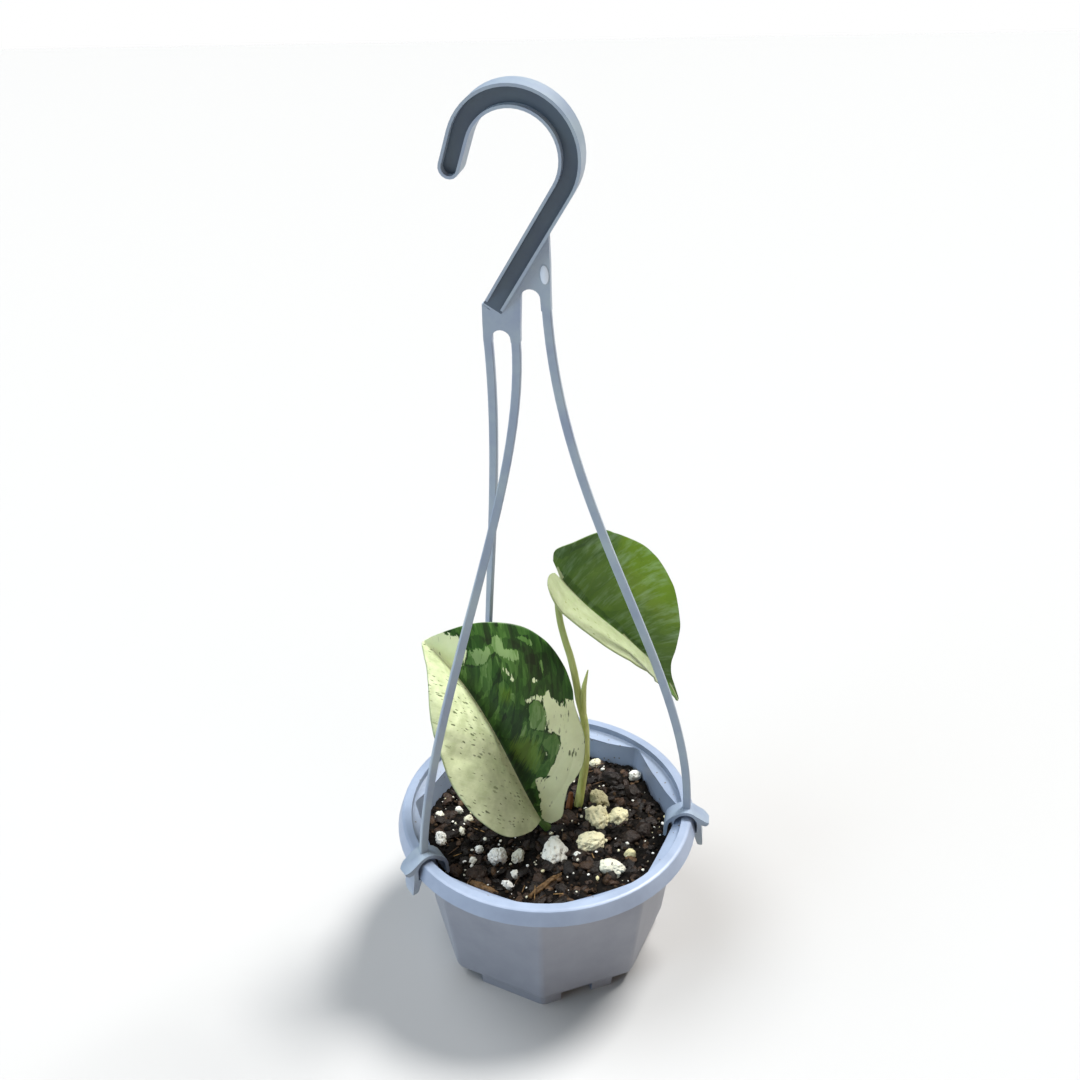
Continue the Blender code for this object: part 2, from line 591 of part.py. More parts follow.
def make_hanger(parts, cutters, material):
    tools = new_collection("hanger pieces")
    hanger = make_hook(parts, cutters)
    hanger.data.transform(hanger_frame())
    plate = flat_solid("plate", plate_outline(), PLATE_HALF_DEPTH, tools)
    plate.data.transform(hanger_frame())
    across, up, half_width, half_height = (value * MM for value in GATE_MARK)
    bump = bmesh.new()
    place = hanger_frame() @ Matrix.Translation((across, up, PLATE_HALF_DEPTH * 0.7))
    bmesh.ops.create_uvsphere(
        bump, u_segments=12, v_segments=8, radius=1.0, matrix=place @ Matrix.Diagonal((half_width, half_height, MM, 1))
    )
    object_from_bmesh("gate_mark", bump, tools)
    for name, start, clip_angle, clip_face, end_slope, inward in ARMS:
        make_arm("arm_" + name, start, clip_angle, clip_face, end_slope, inward, tools)
        make_clip(clip_angle, tools)
    hanger = boolean(hanger, tools, "UNION", parts)
    hanger.name = "hanger"
    hanger.data.materials.append(material)
    bpy.data.collections.remove(tools)
    return hanger


def soil_height(x, y):
    # Crumbly top of the mix, highest in the middle
    away = math.hypot(x, y) / RIM_BORE_RADIUS
    grain = noise.fractal(Vector((x, y, 0.0)) / SOIL_GRAIN, 0.9, 2.1, 3)
    return SOIL_TOP + SOIL_RELIEF * (grain + 0.6 * (1 - away * away))


def add_lump(group, x, y, length, width, height, turn, random_draw):
    # A rough stone or chip, half sunk in the mix
    shape = bmesh.new()
    bmesh.ops.create_icosphere(shape, subdivisions=2 if length > 7 else 1, radius=1.0)
    offset = Vector([random_draw.uniform(-9, 9) for _ in range(3)])
    for vert in shape.verts:
        vert.co *= 1 + 0.3 * noise.noise(vert.co * 1.4 + offset)
    size = Matrix.Diagonal((length / 2 * MM, width / 2 * MM, height * MM, 1.0))
    ground = soil_height(x * MM, y * MM)
    place = Matrix.Translation((x * MM, y * MM, ground)) @ Matrix.Rotation(math.radians(turn), 4, "Z")
    bmesh.ops.transform(shape, matrix=place @ size, verts=shape.verts)
    return object_from_bmesh("lump", shape, group)


def make_soil(parts, cutters, material, holes):
    # The pot's inside less a seat gap, cut by a crumbly top, with the lumps fused on
    random_draw = random.Random(SOIL_SEED)
    bottom = BODY_BOTTOM + FLOOR + SEAT_GAP
    soil = octagon_solid(
        "soil", bottom, SOIL_TOP + 8 * MM, WALL + SEAT_GAP * 1.2, CORNER_ROUND, BOTTOM_ROUND - FLOOR, parts
    )
    top = bmesh.new()
    bmesh.ops.create_grid(top, x_segments=30, y_segments=30, size=RIM_RADIUS)
    for vert in top.verts:
        vert.co.z = soil_height(vert.co.x, vert.co.y)
    bmesh.ops.triangulate(top, faces=top.faces)
    lower = bmesh.ops.extrude_face_region(top, geom=top.faces[:])["geom"]
    for item in lower:
        if isinstance(item, bmesh.types.BMVert):
            item.co.z = -10 * MM
    block = object_from_bmesh("soil_block", top, cutters)
    soil = boolean(soil, as_cutter(block), "INTERSECT", parts)
    lumps = new_collection("lumps")
    for lump in PUMICE + BARK:
        add_lump(lumps, *lump, random_draw)
    soil = boolean(soil, lumps, "UNION", parts)
    bpy.data.collections.remove(lumps)
    drills = bmesh.new()
    for foot, direction, radius in holes:
        turn = direction.to_track_quat("Z", "Y").to_matrix().to_4x4()
        bmesh.ops.create_cone(
            drills,
            cap_ends=True,
            segments=14,
            radius1=radius,
            radius2=radius,
            depth=HOLE_LENGTH,
            matrix=Matrix.Translation(foot + direction * HOLE_LENGTH / 2) @ turn,
        )
    soil = boolean(soil, as_cutter(object_from_bmesh("drills", drills, cutters)), "DIFFERENCE", parts)
    soil.name = "soil"
    soil.data.materials.append(material)
    return soil


def bent(length, start, end):
    # How far a strip runs out and rises when it bends evenly from one angle to another
    turn = end - start
    if abs(turn) < 1e-6:
        return length * math.cos(start), length * math.sin(start)
    return length * (math.sin(end) - math.sin(start)) / turn, length * (math.cos(start) - math.cos(end)) / turn


class LeafForm:
    # Bends a flat leaf (across, along the rib) into space

    def __init__(self, leaf):
        points = [Vector(point) for point in leaf["rib"]]
        fine = [curve_point(points, step / 400) for step in range(401)]
        self.rib = spaced_evenly(fine, 200)
        self.length = sum((b - a).length for a, b in zip(fine, fine[1:]))
        self.leaf = leaf
        azimuth, height = (math.radians(angle) for angle in leaf["faces"])
        self.faces = Vector(
            (math.cos(azimuth) * math.cos(height), math.sin(azimuth) * math.cos(height), math.sin(height))
        )

    def on_rib(self, along):
        # Place and direction on the rib, which runs straight on beyond its ends
        where = min(max(along / self.length, 0.0), 1.0) * 200
        index = min(int(where), 199)
        place = self.rib[index].lerp(self.rib[index + 1], where - index)
        run = self.rib[min(index + 2, 200)] - self.rib[max(index - 1, 0)]
        run.normalize()
        return place + run * (along - where / 200 * self.length), run

    def folds(self, across, along):
        table = self.leaf["right_folds"] if across >= 0 else self.leaf["left_folds"]
        share = min(max(along / self.length, 0.0), 1.0)
        for before, after in zip(table, table[1:]):
            if share <= after[0]:
                part = (share - before[0]) / (after[0] - before[0])
                break
        return [math.radians(before[k] + (after[k] - before[k]) * part) for k in (1, 2)]

    def __call__(self, across, along):
        place, run = self.on_rib(along)
        side = run.cross(self.faces).normalized()
        face = side.cross(run)
        turn = math.radians(self.leaf["turn"])
        side, face = (
            side * math.cos(turn) - face * math.sin(turn),
            face * math.cos(turn) + side * math.sin(turn),
        )
        at_rib, at_margin = self.folds(across, along)
        away = abs(across)
        near = min(away, RIB_ROUND)
        far = away - near
        out, rise = bent(near, 0.0, at_rib * near / RIB_ROUND)
        more_out, more_rise = bent(far, at_rib, at_rib + (at_margin - at_rib) * far / LEAF_REACH)
        sign = 1.0 if across >= 0 else -1.0
        place = place + side * sign * (out + more_out) + face * (rise + more_rise)
        return place * MM + Vector((0.0, 0.0, RIM_TOP))


def make_leaf(name, leaf, material, parts):
    # A grid stretched from the rib to the margin on both sides, bent into form and thickened
    form = LeafForm(leaf)
    margins = {}
    for side in ("left", "right"):
        outline = smooth_through([Vector(place) for place in leaf[side]], 300)
        margins[side] = spaced_evenly(outline, LEAF_ROWS)
    shape = bmesh.new()
    bmesh.ops.create_grid(shape, x_segments=2 * LEAF_COLUMNS, y_segments=LEAF_ROWS, size=1.0)
    for vert in shape.verts:
        row = round((vert.co.y + 1) / 2 * LEAF_ROWS)
        on_rib = Vector((0.0, leaf["tip"] * (row / LEAF_ROWS) ** RIB_CROWDING))
        margin = margins["right" if vert.co.x > 0 else "left"][row]
        flat = on_rib.lerp(margin, abs(vert.co.x) ** COLUMN_CROWDING)
        vert.co = form(flat.x, flat.y)
    bmesh.ops.remove_doubles(shape, verts=shape.verts, dist=0.02 * MM)
    bmesh.ops.triangulate(shape, faces=shape.faces)
    item = object_from_bmesh(name, shape, parts)
    thicken = item.modifiers.new("Thickness", "SOLIDIFY")
    thicken.thickness = BLADE
    thicken.offset = 0.0
    item = mesh_copy(item, parts)
    item.data.materials.append(material)
    return item


def make_stem(name, points, group):
    # A round stem through places that each carry their radius
    places = smooth_through([Vector(point[:3]) * MM + Vector((0.0, 0.0, RIM_TOP)) for point in points], STEM_STEPS)
    radii = smooth_through([Vector((point[3], 0.0)) * MM for point in points], STEM_STEPS)
    rings = []
    side = Vector((1.0, 0.0, 0.0))
    for step, place in enumerate(places):
        run = (places[min(step + 1, STEM_STEPS)] - places[max(step - 1, 0)]).normalized()
        side = (side - run * side.dot(run)).normalized()
        other = run.cross(side)
        ring = []
        for corner in range(STEM_SIDES):
            angle = 2 * math.pi * corner / STEM_SIDES
            ring.append(place + (side * math.cos(angle) + other * math.sin(angle)) * radii[step].x)
        rings.append(ring)
    return loft(name, rings, group)


def stem_hole(points):
    # The plain hole that a stem stands in: its bottom's place, its direction and its radius
    foot = Vector(points[0][:3]) * MM + Vector((0.0, 0.0, RIM_TOP))
    run = (Vector(points[1][:3]) - Vector(points[0][:3])).normalized()
    radius = max(points[0][3], points[1][3]) * MM + HOLE_GAP
    return foot - run * HOLE_GAP, run, radius


def main():
    clear_scene()
    parts = new_collection("satin pothos")
    cutters = new_collection("cutters")
    plastic = plain_material("pale blue-grey plastic", (0.33, 0.39, 0.47), 0.42)
    mix = plain_material("potting mix", (0.035, 0.022, 0.014), 0.95)
    make_pot(parts, cutters, plastic)
    make_hanger(parts, cutters, plastic)
    make_soil(parts, cutters, mix, [stem_hole(stem) for stem in (BACK_STEM, FRONT_STEM, DRIED_STUB)])
    blade = plain_material("variegated leaf", (0.28, 0.42, 0.12), 0.35)
    green = plain_material("leaf stalk", (0.33, 0.38, 0.08), 0.4)
    brown = plain_material("dried stalk", (0.16, 0.08, 0.03), 0.8)
    make_leaf("leaf_front", FRONT_LEAF, blade, parts)
    make_leaf("leaf_back", BACK_LEAF, blade, parts)
    stem = make_stem("stem_back", BACK_STEM, parts)
    stem = boolean(stem, make_stem("spear", SPEAR, cutters), "UNION", parts)
    stem.name = "stem_back"
    stem.data.materials.append(green)
    make_stem("stem_front", FRONT_STEM, parts).data.materials.append(green)
    make_stem("dried_stub", DRIED_STUB, parts).data.materials.append(brown)
    frame = bpy.data.objects.new("pot_axis", None)
    parts.objects.link(frame)
    frame.location = POT_AXIS
    for item in parts.objects:
        if item.type == "MESH":
            item.parent = frame


if __name__ == "__main__":
    main()
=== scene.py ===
import math
import random

import bmesh
import bpy
import numpy as np
from mathutils import Matrix, Vector, noise


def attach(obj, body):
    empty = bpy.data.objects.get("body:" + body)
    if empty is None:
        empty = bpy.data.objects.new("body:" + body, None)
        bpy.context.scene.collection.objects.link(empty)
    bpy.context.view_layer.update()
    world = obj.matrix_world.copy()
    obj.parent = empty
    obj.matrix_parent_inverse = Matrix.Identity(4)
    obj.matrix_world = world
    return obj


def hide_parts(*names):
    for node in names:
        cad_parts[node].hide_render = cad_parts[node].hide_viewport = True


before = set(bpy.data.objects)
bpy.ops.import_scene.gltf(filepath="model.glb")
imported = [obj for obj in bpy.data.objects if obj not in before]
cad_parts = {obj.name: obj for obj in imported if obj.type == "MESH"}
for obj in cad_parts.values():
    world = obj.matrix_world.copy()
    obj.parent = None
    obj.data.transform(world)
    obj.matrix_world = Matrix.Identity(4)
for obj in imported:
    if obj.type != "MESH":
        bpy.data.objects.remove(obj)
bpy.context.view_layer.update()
print("frame loaded")

mm = 0.001
potAxis = Vector((-2.43, 0.0, 0.0)) * mm  # the pot's axis, as in the part
rimTop = 63.0 * mm
rimCentre = potAxis + Vector((0.0, 0.0, rimTop))


# Small helpers

def linear(hexColour):
    # sRGB hex to linear light
    channels = []
    for start in (1, 3, 5):
        value = int(hexColour[start:start + 2], 16) / 255
        channels.append(value / 12.92 if value <= 0.04045 else ((value + 0.055) / 1.055) ** 2.4)
    return (*channels, 1.0)


def addNode(tree, kind, inputs=None, **properties):
    # A node with its properties; an input takes a socket, a hex colour or a plain value
    node = tree.nodes.new("ShaderNode" + kind)
    for name, value in properties.items():
        setattr(node, name, value)
    for name, value in (inputs or {}).items():
        if isinstance(value, bpy.types.NodeSocket):
            tree.links.new(value, node.inputs[name])
        else:
            node.inputs[name].default_value = linear(value) if isinstance(value, str) else value
    return node


def addMath(tree, operation, *values):
    return addNode(tree, "Math", dict(enumerate(values)), operation=operation).outputs["Value"]


def addDot(tree, a, b):
    return addNode(tree, "VectorMath", {0: a, 1: b}, operation="DOT_PRODUCT").outputs["Value"]


def addMix(tree, factor, a, b, blend="MIX"):
    inputs = {"Factor": factor, "A": a, "B": b}
    return addNode(tree, "Mix", inputs, data_type="RGBA", blend_type=blend).outputs["Result"]


def addNoise(tree, vector, scale, detail=2.0, rough=0.5, output="Fac"):
    inputs = {"Vector": vector, "Scale": scale, "Detail": detail, "Roughness": rough}
    return addNode(tree, "TexNoise", inputs).outputs[output]


def addRamp(tree, factor, stops):
    # A colour ramp from (place, hex colour) stops
    ramp = addNode(tree, "ValToRGB", {"Fac": factor})
    elements = ramp.color_ramp.elements
    while len(elements) < len(stops):
        elements.new(0.5)
    for element, (place, hexColour) in zip(elements, stops):
        element.position = place
        element.color = linear(hexColour)
    return ramp.outputs["Color"]


def newMaterial(name, settings):
    material = bpy.data.materials.new(name)
    material.use_nodes = True
    tree = material.node_tree
    shader = tree.nodes["Principled BSDF"]
    for socket, value in settings.items():
        shader.inputs[socket].default_value = value
    return material, tree, shader


def addSkin(tree, shader, colour, height, strength, depth):
    # The shader's colour, and a bump that is a depth in mm deep
    bump = addNode(tree, "Bump", {"Height": height, "Strength": strength, "Distance": depth * mm})
    tree.links.new(colour, shader.inputs["Base Color"])
    tree.links.new(bump.outputs["Normal"], shader.inputs["Normal"])


def putInScene(name, data):
    thing = bpy.data.objects.new(name, data)
    bpy.context.scene.collection.objects.link(thing)
    return thing


def makeMesh(name, shape, materials):
    mesh = bpy.data.meshes.new(name)
    shape.to_mesh(mesh)
    shape.free()
    for material in materials:
        mesh.materials.append(material)
    return mesh


def finishPiece(name, shape, materials, nodes, sharpAngle):
    # Turns a bmesh into a piece at the origin that rides on the part
    mesh = makeMesh(name, shape, materials)
    mesh.polygons.foreach_set("use_smooth", [True] * len(mesh.polygons))
    mesh.set_sharp_from_angle(angle=math.radians(sharpAngle))
    piece = putInScene(name, mesh)
    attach(piece, "root")
    if nodes:
        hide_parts(*nodes)
    return piece


def smoothThrough(points, count):
    # Even steps on a smooth curve through the given points
    places = []
    last = len(points) - 1
    for step in range(count + 1):
        where = step / count * last
        index = min(int(where), last - 1)
        share = where - index
        before = points[max(index - 1, 0)]
        a = points[index]
        b = points[index + 1]
        after = points[min(index + 2, last)]
        slopeA = (b - before) * 0.5
        slopeB = (after - a) * 0.5
        s2 = share * share
        s3 = s2 * share
        place = a * (2 * s3 - 3 * s2 + 1) + slopeA * (s3 - 2 * s2 + share)
        places.append(place + b * (3 * s2 - 2 * s3) + slopeB * (s3 - s2))
    return places


def spacedEvenly(places, count):
    lengths = [0.0]
    for here, after in zip(places, places[1:]):
        lengths.append(lengths[-1] + (after - here).length)
    spaced = []
    index = 0
    for step in range(count + 1):
        wanted = lengths[-1] * step / count
        while index < len(places) - 2 and lengths[index + 1] < wanted:
            index += 1
        share = (wanted - lengths[index]) / (lengths[index + 1] - lengths[index])
        spaced.append(places[index].lerp(places[index + 1], share))
    return spaced


# Pot and hanger: injection-moulded polypropylene, a pale blue-grey, with edges rounded by the mould.
# It has a soft waxy gloss, faint mottling from the flow and a little dust from the mix inside. Painted shade darkens
# the hook's channel and the pot's outside under the lip, and a painted highlight lies on the gate mark.
# Sizes are in mm.

plastic = {
    "colour": "#929fb5",
    "hangerColour": "#98a7b0",
    "flowColour": "#8592a8",
    "gatePaintedHighlight": "#c9d4e2",
    "dustColour": "#6f6a66",
    "underLipPaintedShade": (0.9, 0.8, 0.71, 1.0),    # painted shade: the pot's outside is darkened and warmed under the lip
    "bodyTop": 57.2,                      # up to this height
    "webShade": (0.2, 0.25, 0.29, 1.0),   # painted shade: the hook's channel is painted darker
    "web": (1.05, 1.3, 0.95),             # from the hook's middle plane to the channel's floor, and how flat it is
    "roughness": 0.4,
    "flowSize": 14.0,
    "grainSize": 0.45,                    # a little coarse so that it shows
    "grainBump": (0.06, 0.1),
    "speckSize": 2.4,                     # between specks of mix on the inside
    "speckCell": (0.17, 0.62),            # a speck's share of its cell, and the share of cells without one
    "speckFrom": 50.0,                    # height that they start at
    "edgeAngle": 32.0,                    # degrees, for the mould's rounded edges
    "potRound": 0.32,
    "hangerRound": 0.4,
    # The lip's rounded outer side as (height, radius), down from its top edge. The part's own edge
    # has the upper three, which lie above and outside "lipEdge"; the lip is cut at the other three
    "lip": ((63.0, 57.5), (62.88, 58.3), (62.5, 58.9), (61.6, 59.3), (60.4, 59.7), (58.8, 60.25)),
    "lipEdge": (62.4, 59.3, (62.95, 62.7)),
    "lipSide": 59.75,
    # The ledge inside the rim slopes down from its corners to the wall, which slants
    "ledge": {"height": 60.3, "corners": 53.9, "slope": 0.5, "cuts": 36, "slant": 0.125},
    "level": 0.02,                        # how far a point may lie from its level
    # The clips' angles, where a clip lies (outside, half width, top), and for their outer ends and
    # for their tabs what becomes narrower: (from, to, cuts, narrowing, lowest height)
    "clips": (117.0, 213.5, 351.0),
    "clipBox": (59.0, 6.0, 74.0),
    "clipEnds": (63.2, 66.1, (64.0, 64.8, 65.5), 0.86, 58.0),
    "clipTabs": (53.2, 48.9, (51.8, 50.6, 49.7), 0.86, 0.0),
}


# The hanger's own plane and, in it, the round mark that the mould's gate left
hookPlane = {
    "place": potAxis + Vector((-7.5, 5.0, 260.8)) * mm,
    "normal": Vector((0.2532, 0.9448, 0.2079)),
    "across": Vector((0.9659, -0.2588, 0.0)),
    "up": Vector((-0.0538, -0.2008, 0.9781)),
    "gate": (("X", "across", 11.0, 1.7), ("Y", "up", 16.6, 3.9)),
    "gateSize": 0.8,
    "gateDepth": 4.0,
}


def allOf(tree, *tests):
    # 1 where every (operation, value, limit) holds
    values = [addMath(tree, *test) for test in tests]
    result = values[0]
    for value in values[1:]:
        result = addMath(tree, "MULTIPLY", result, value)
    return result


def makePlastic(name, tint, paintShadeUnderLip=False):
    material, tree, shader = newMaterial(name, {"Roughness": plastic["roughness"], "IOR": 1.49})
    coordinates = addNode(tree, "TexCoord").outputs["Object"]
    flow = addNoise(tree, coordinates, 1000 / plastic["flowSize"], 4.0, 0.6)
    colour = addRamp(tree, flow, ((0.3, plastic["flowColour"]), (0.7, tint)))
    # Specks of mix on the inside wall: small spots where a cell's random value is high
    cells = addNode(tree, "TexVoronoi", {"Vector": coordinates, "Scale": 1000 / plastic["speckSize"]}).outputs
    chance = addNode(tree, "SeparateColor", {"Color": cells["Color"]}).outputs["Red"]
    centred = addNode(tree, "Mapping", {"Vector": coordinates, "Location": -potAxis}).outputs["Vector"]
    x, y, z = addNode(tree, "SeparateXYZ", {"Vector": centred}).outputs
    outward = addNode(tree, "CombineXYZ", {"X": x, "Y": y}).outputs["Vector"]
    normal = addNode(tree, "NewGeometry").outputs["Normal"]
    facing = addDot(tree, outward, normal)
    size, empty = plastic["speckCell"]
    speck = allOf(
        tree, ("LESS_THAN", cells["Distance"], size), ("GREATER_THAN", chance, empty), ("LESS_THAN", facing, -0.001),
        ("GREATER_THAN", z, plastic["speckFrom"] * mm), ("LESS_THAN", z, rimTop + mm),
    )
    colour = addMix(tree, speck, colour, plastic["dustColour"])
    # Painted shade: the pot's outside under the lip is darkened and warmed
    if paintShadeUnderLip:
        body = allOf(tree, ("GREATER_THAN", facing, 0.001), ("LESS_THAN", z, plastic["bodyTop"] * mm))
        colour = addMix(tree, body, colour, plastic["underLipPaintedShade"], "MULTIPLY")
    # Painted shade on the floor of the hook's channel
    fromHook = addNode(tree, "Mapping", {"Vector": coordinates, "Location": -hookPlane["place"]}).outputs["Vector"]
    depth = addMath(tree, "ABSOLUTE", addDot(tree, fromHook, hookPlane["normal"]))
    flat = addMath(tree, "ABSOLUTE", addDot(tree, normal, hookPlane["normal"]))
    low, high, flatness = plastic["web"]
    web = allOf(
        tree, ("GREATER_THAN", depth, low * mm), ("LESS_THAN", depth, high * mm), ("GREATER_THAN", flat, flatness),
        ("GREATER_THAN", addDot(tree, fromHook, hookPlane["up"]), 0.0),
    )
    colour = addMix(tree, web, colour, plastic["webShade"], "MULTIPLY")
    # The gate mark, a raised oval with a painted highlight
    oval = {}
    for name, axis, middle, half in hookPlane["gate"]:
        away = addDot(tree, fromHook, hookPlane[axis])
        oval[name] = addMath(tree, "MULTIPLY_ADD", away, 1 / (half * mm), -middle / half)
    inOval = addNode(tree, "CombineXYZ", oval).outputs["Vector"]
    reach = addNode(tree, "VectorMath", {0: inOval}, operation="LENGTH").outputs["Value"]
    gate = allOf(
        tree, ("LESS_THAN", reach, hookPlane["gateSize"]), ("LESS_THAN", depth, hookPlane["gateDepth"] * mm)
    )
    colour = addMix(tree, gate, colour, plastic["gatePaintedHighlight"])
    addSkin(tree, shader, colour, addNoise(tree, coordinates, 1000 / plastic["grainSize"]), *plastic["grainBump"])
    return material


def cut(shape, faces, place, normal):
    parts = set(faces)
    for face in faces:
        parts.update(face.verts)
        parts.update(face.edges)
    bmesh.ops.bisect_plane(shape, geom=list(parts), dist=0.002 * mm, plane_co=place, plane_no=normal)


def roundLip(shape):
    # The lip bulges outwards and the ledge inside the rim slopes down to the walls
    lip = plastic["lip"]
    edgeHeight, edgeRadius, steps = plastic["lipEdge"]
    ledge = plastic["ledge"]

    def level(height, wanted):
        return abs(height - wanted) < plastic["level"]

    for height, _ in lip[3:]:
        cut(shape, shape.faces[:], Vector((0.0, 0.0, height * mm)), Vector((0.0, 0.0, 1.0)))
    for step in range(ledge["cuts"]):
        angle = math.radians(180 / ledge["cuts"] * step)
        faces = [face for face in shape.faces if all(level(vert.co.z / mm, ledge["height"]) for vert in face.verts)]
        cut(shape, faces, potAxis, Vector((math.cos(angle), math.sin(angle), 0.0)))
    for vert in shape.verts:
        flat = vert.co - potAxis
        height = flat.z / mm
        away = math.hypot(flat.x, flat.y) / mm
        target = None
        if away > edgeRadius and height > edgeHeight:
            height, target = lip[sum(height <= step for step in steps)]
        elif away > plastic["lipSide"]:
            for wanted, radius in lip[3:]:
                if level(height, wanted):
                    target = radius
        if target:
            vert.co = potAxis + Vector((flat.x / away * target, flat.y / away * target, height * mm))
        elif level(height, ledge["height"]) and away < ledge["corners"] - 0.05:
            # Down along the slanted wall, but for the corners' own points
            drop = ledge["slope"] * (ledge["corners"] - away)
            inner = (away - ledge["slant"] * drop) / away
            vert.co = potAxis + Vector((flat.x * inner, flat.y * inner, (height - drop) * mm))


def roundClips(shape):
    # The clips' outer ends and tabs narrow to a round end
    outside, halfWidth, top = (size * mm for size in plastic["clipBox"])
    up = Vector((0.0, 0.0, 1.0))

    def onClip(place, out, side):
        flat = place - potAxis
        return flat.dot(out) > outside and abs(flat.dot(side)) < halfWidth and flat.z < top

    for angle in plastic["clips"]:
        out = Vector((math.cos(math.radians(angle)), math.sin(math.radians(angle)), 0.0))
        side = Vector((-out.y, out.x, 0.0))
        for axis, (first, last, cuts, narrowing, lowest) in ((out, plastic["clipEnds"]), (up, plastic["clipTabs"])):
            for place in cuts:
                near = [face for face in shape.faces if onClip(face.calc_center_median(), out, side)]
                cut(shape, near, potAxis + axis * place * mm, axis)
            for vert in shape.verts:
                flat = vert.co - potAxis
                share = (flat.dot(axis) / mm - first) / (last - first)
                if share > 0 and onClip(vert.co, out, side) and flat.z > lowest * mm:
                    width = 1 - math.sqrt(max(0.0, 1 - (narrowing * min(share, 1.0)) ** 2))
                    vert.co -= side * flat.dot(side) * width


def roundedCopy(node, material, edgeRound, change):
    # The node's own shape with its mould edges rounded
    shape = bmesh.new()
    shape.from_mesh(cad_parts[node].data)
    bmesh.ops.remove_doubles(shape, verts=shape.verts, dist=0.005 * mm)
    bmesh.ops.dissolve_limit(shape, angle_limit=math.radians(0.6), verts=shape.verts, edges=shape.edges)
    change(shape)
    piece = finishPiece(node + "_moulded", shape, [material], [node], plastic["edgeAngle"])
    bevel = piece.modifiers.new("Edges", "BEVEL")
    bevel.width = edgeRound * mm
    bevel.segments = 2
    bevel.limit_method = "ANGLE"
    bevel.angle_limit = math.radians(plastic["edgeAngle"])
    flatten = piece.modifiers.new("Flat faces", "WEIGHTED_NORMAL")
    flatten.keep_sharp = True


potPlastic = makePlastic("moulded polypropylene, pot", plastic["colour"], True)
hangerPlastic = makePlastic("moulded polypropylene, hanger", plastic["hangerColour"])
roundedCopy("pot", potPlastic, plastic["potRound"], roundLip)
roundedCopy("hanger", hangerPlastic, plastic["hangerRound"], roundClips)
print("pot and hanger done")


# Leaves: the blades of the part, with a finer net, veins, and the cream and green of the variegation.
# Places in space are mm from the middle of the rim's top. Outlines and markings are
# (across, along the rib) in the flat leaf, in mm, with + to the right of the rib.

leafForm = {
    "blade": 0.55,            # thickness
    "ribSteps": 200,
    "outlineSteps": 600,
    "rows": 170,
    "columns": 54,
    "ribCrowding": 1.25,      # rows and columns crowd towards the base and the rib
    "columnCrowding": 1.25,
    "ribRound": 1.5,          # the fold at the rib is round within this distance
    "reach": 36.0,            # and the margin's fold is reached here
    "ribGroove": (0.32, 0.8),  # depth and half width
    "veinCurve": 0.012,
    "veinSpacing": 7.5,
    "veinDepth": 0.08,
    "veinFade": (4.0, 38.0, 14.0),  # veins rise over the first, and fade out over the last before the middle one
    "waveSize": 20.0,         # of the soft waves
}

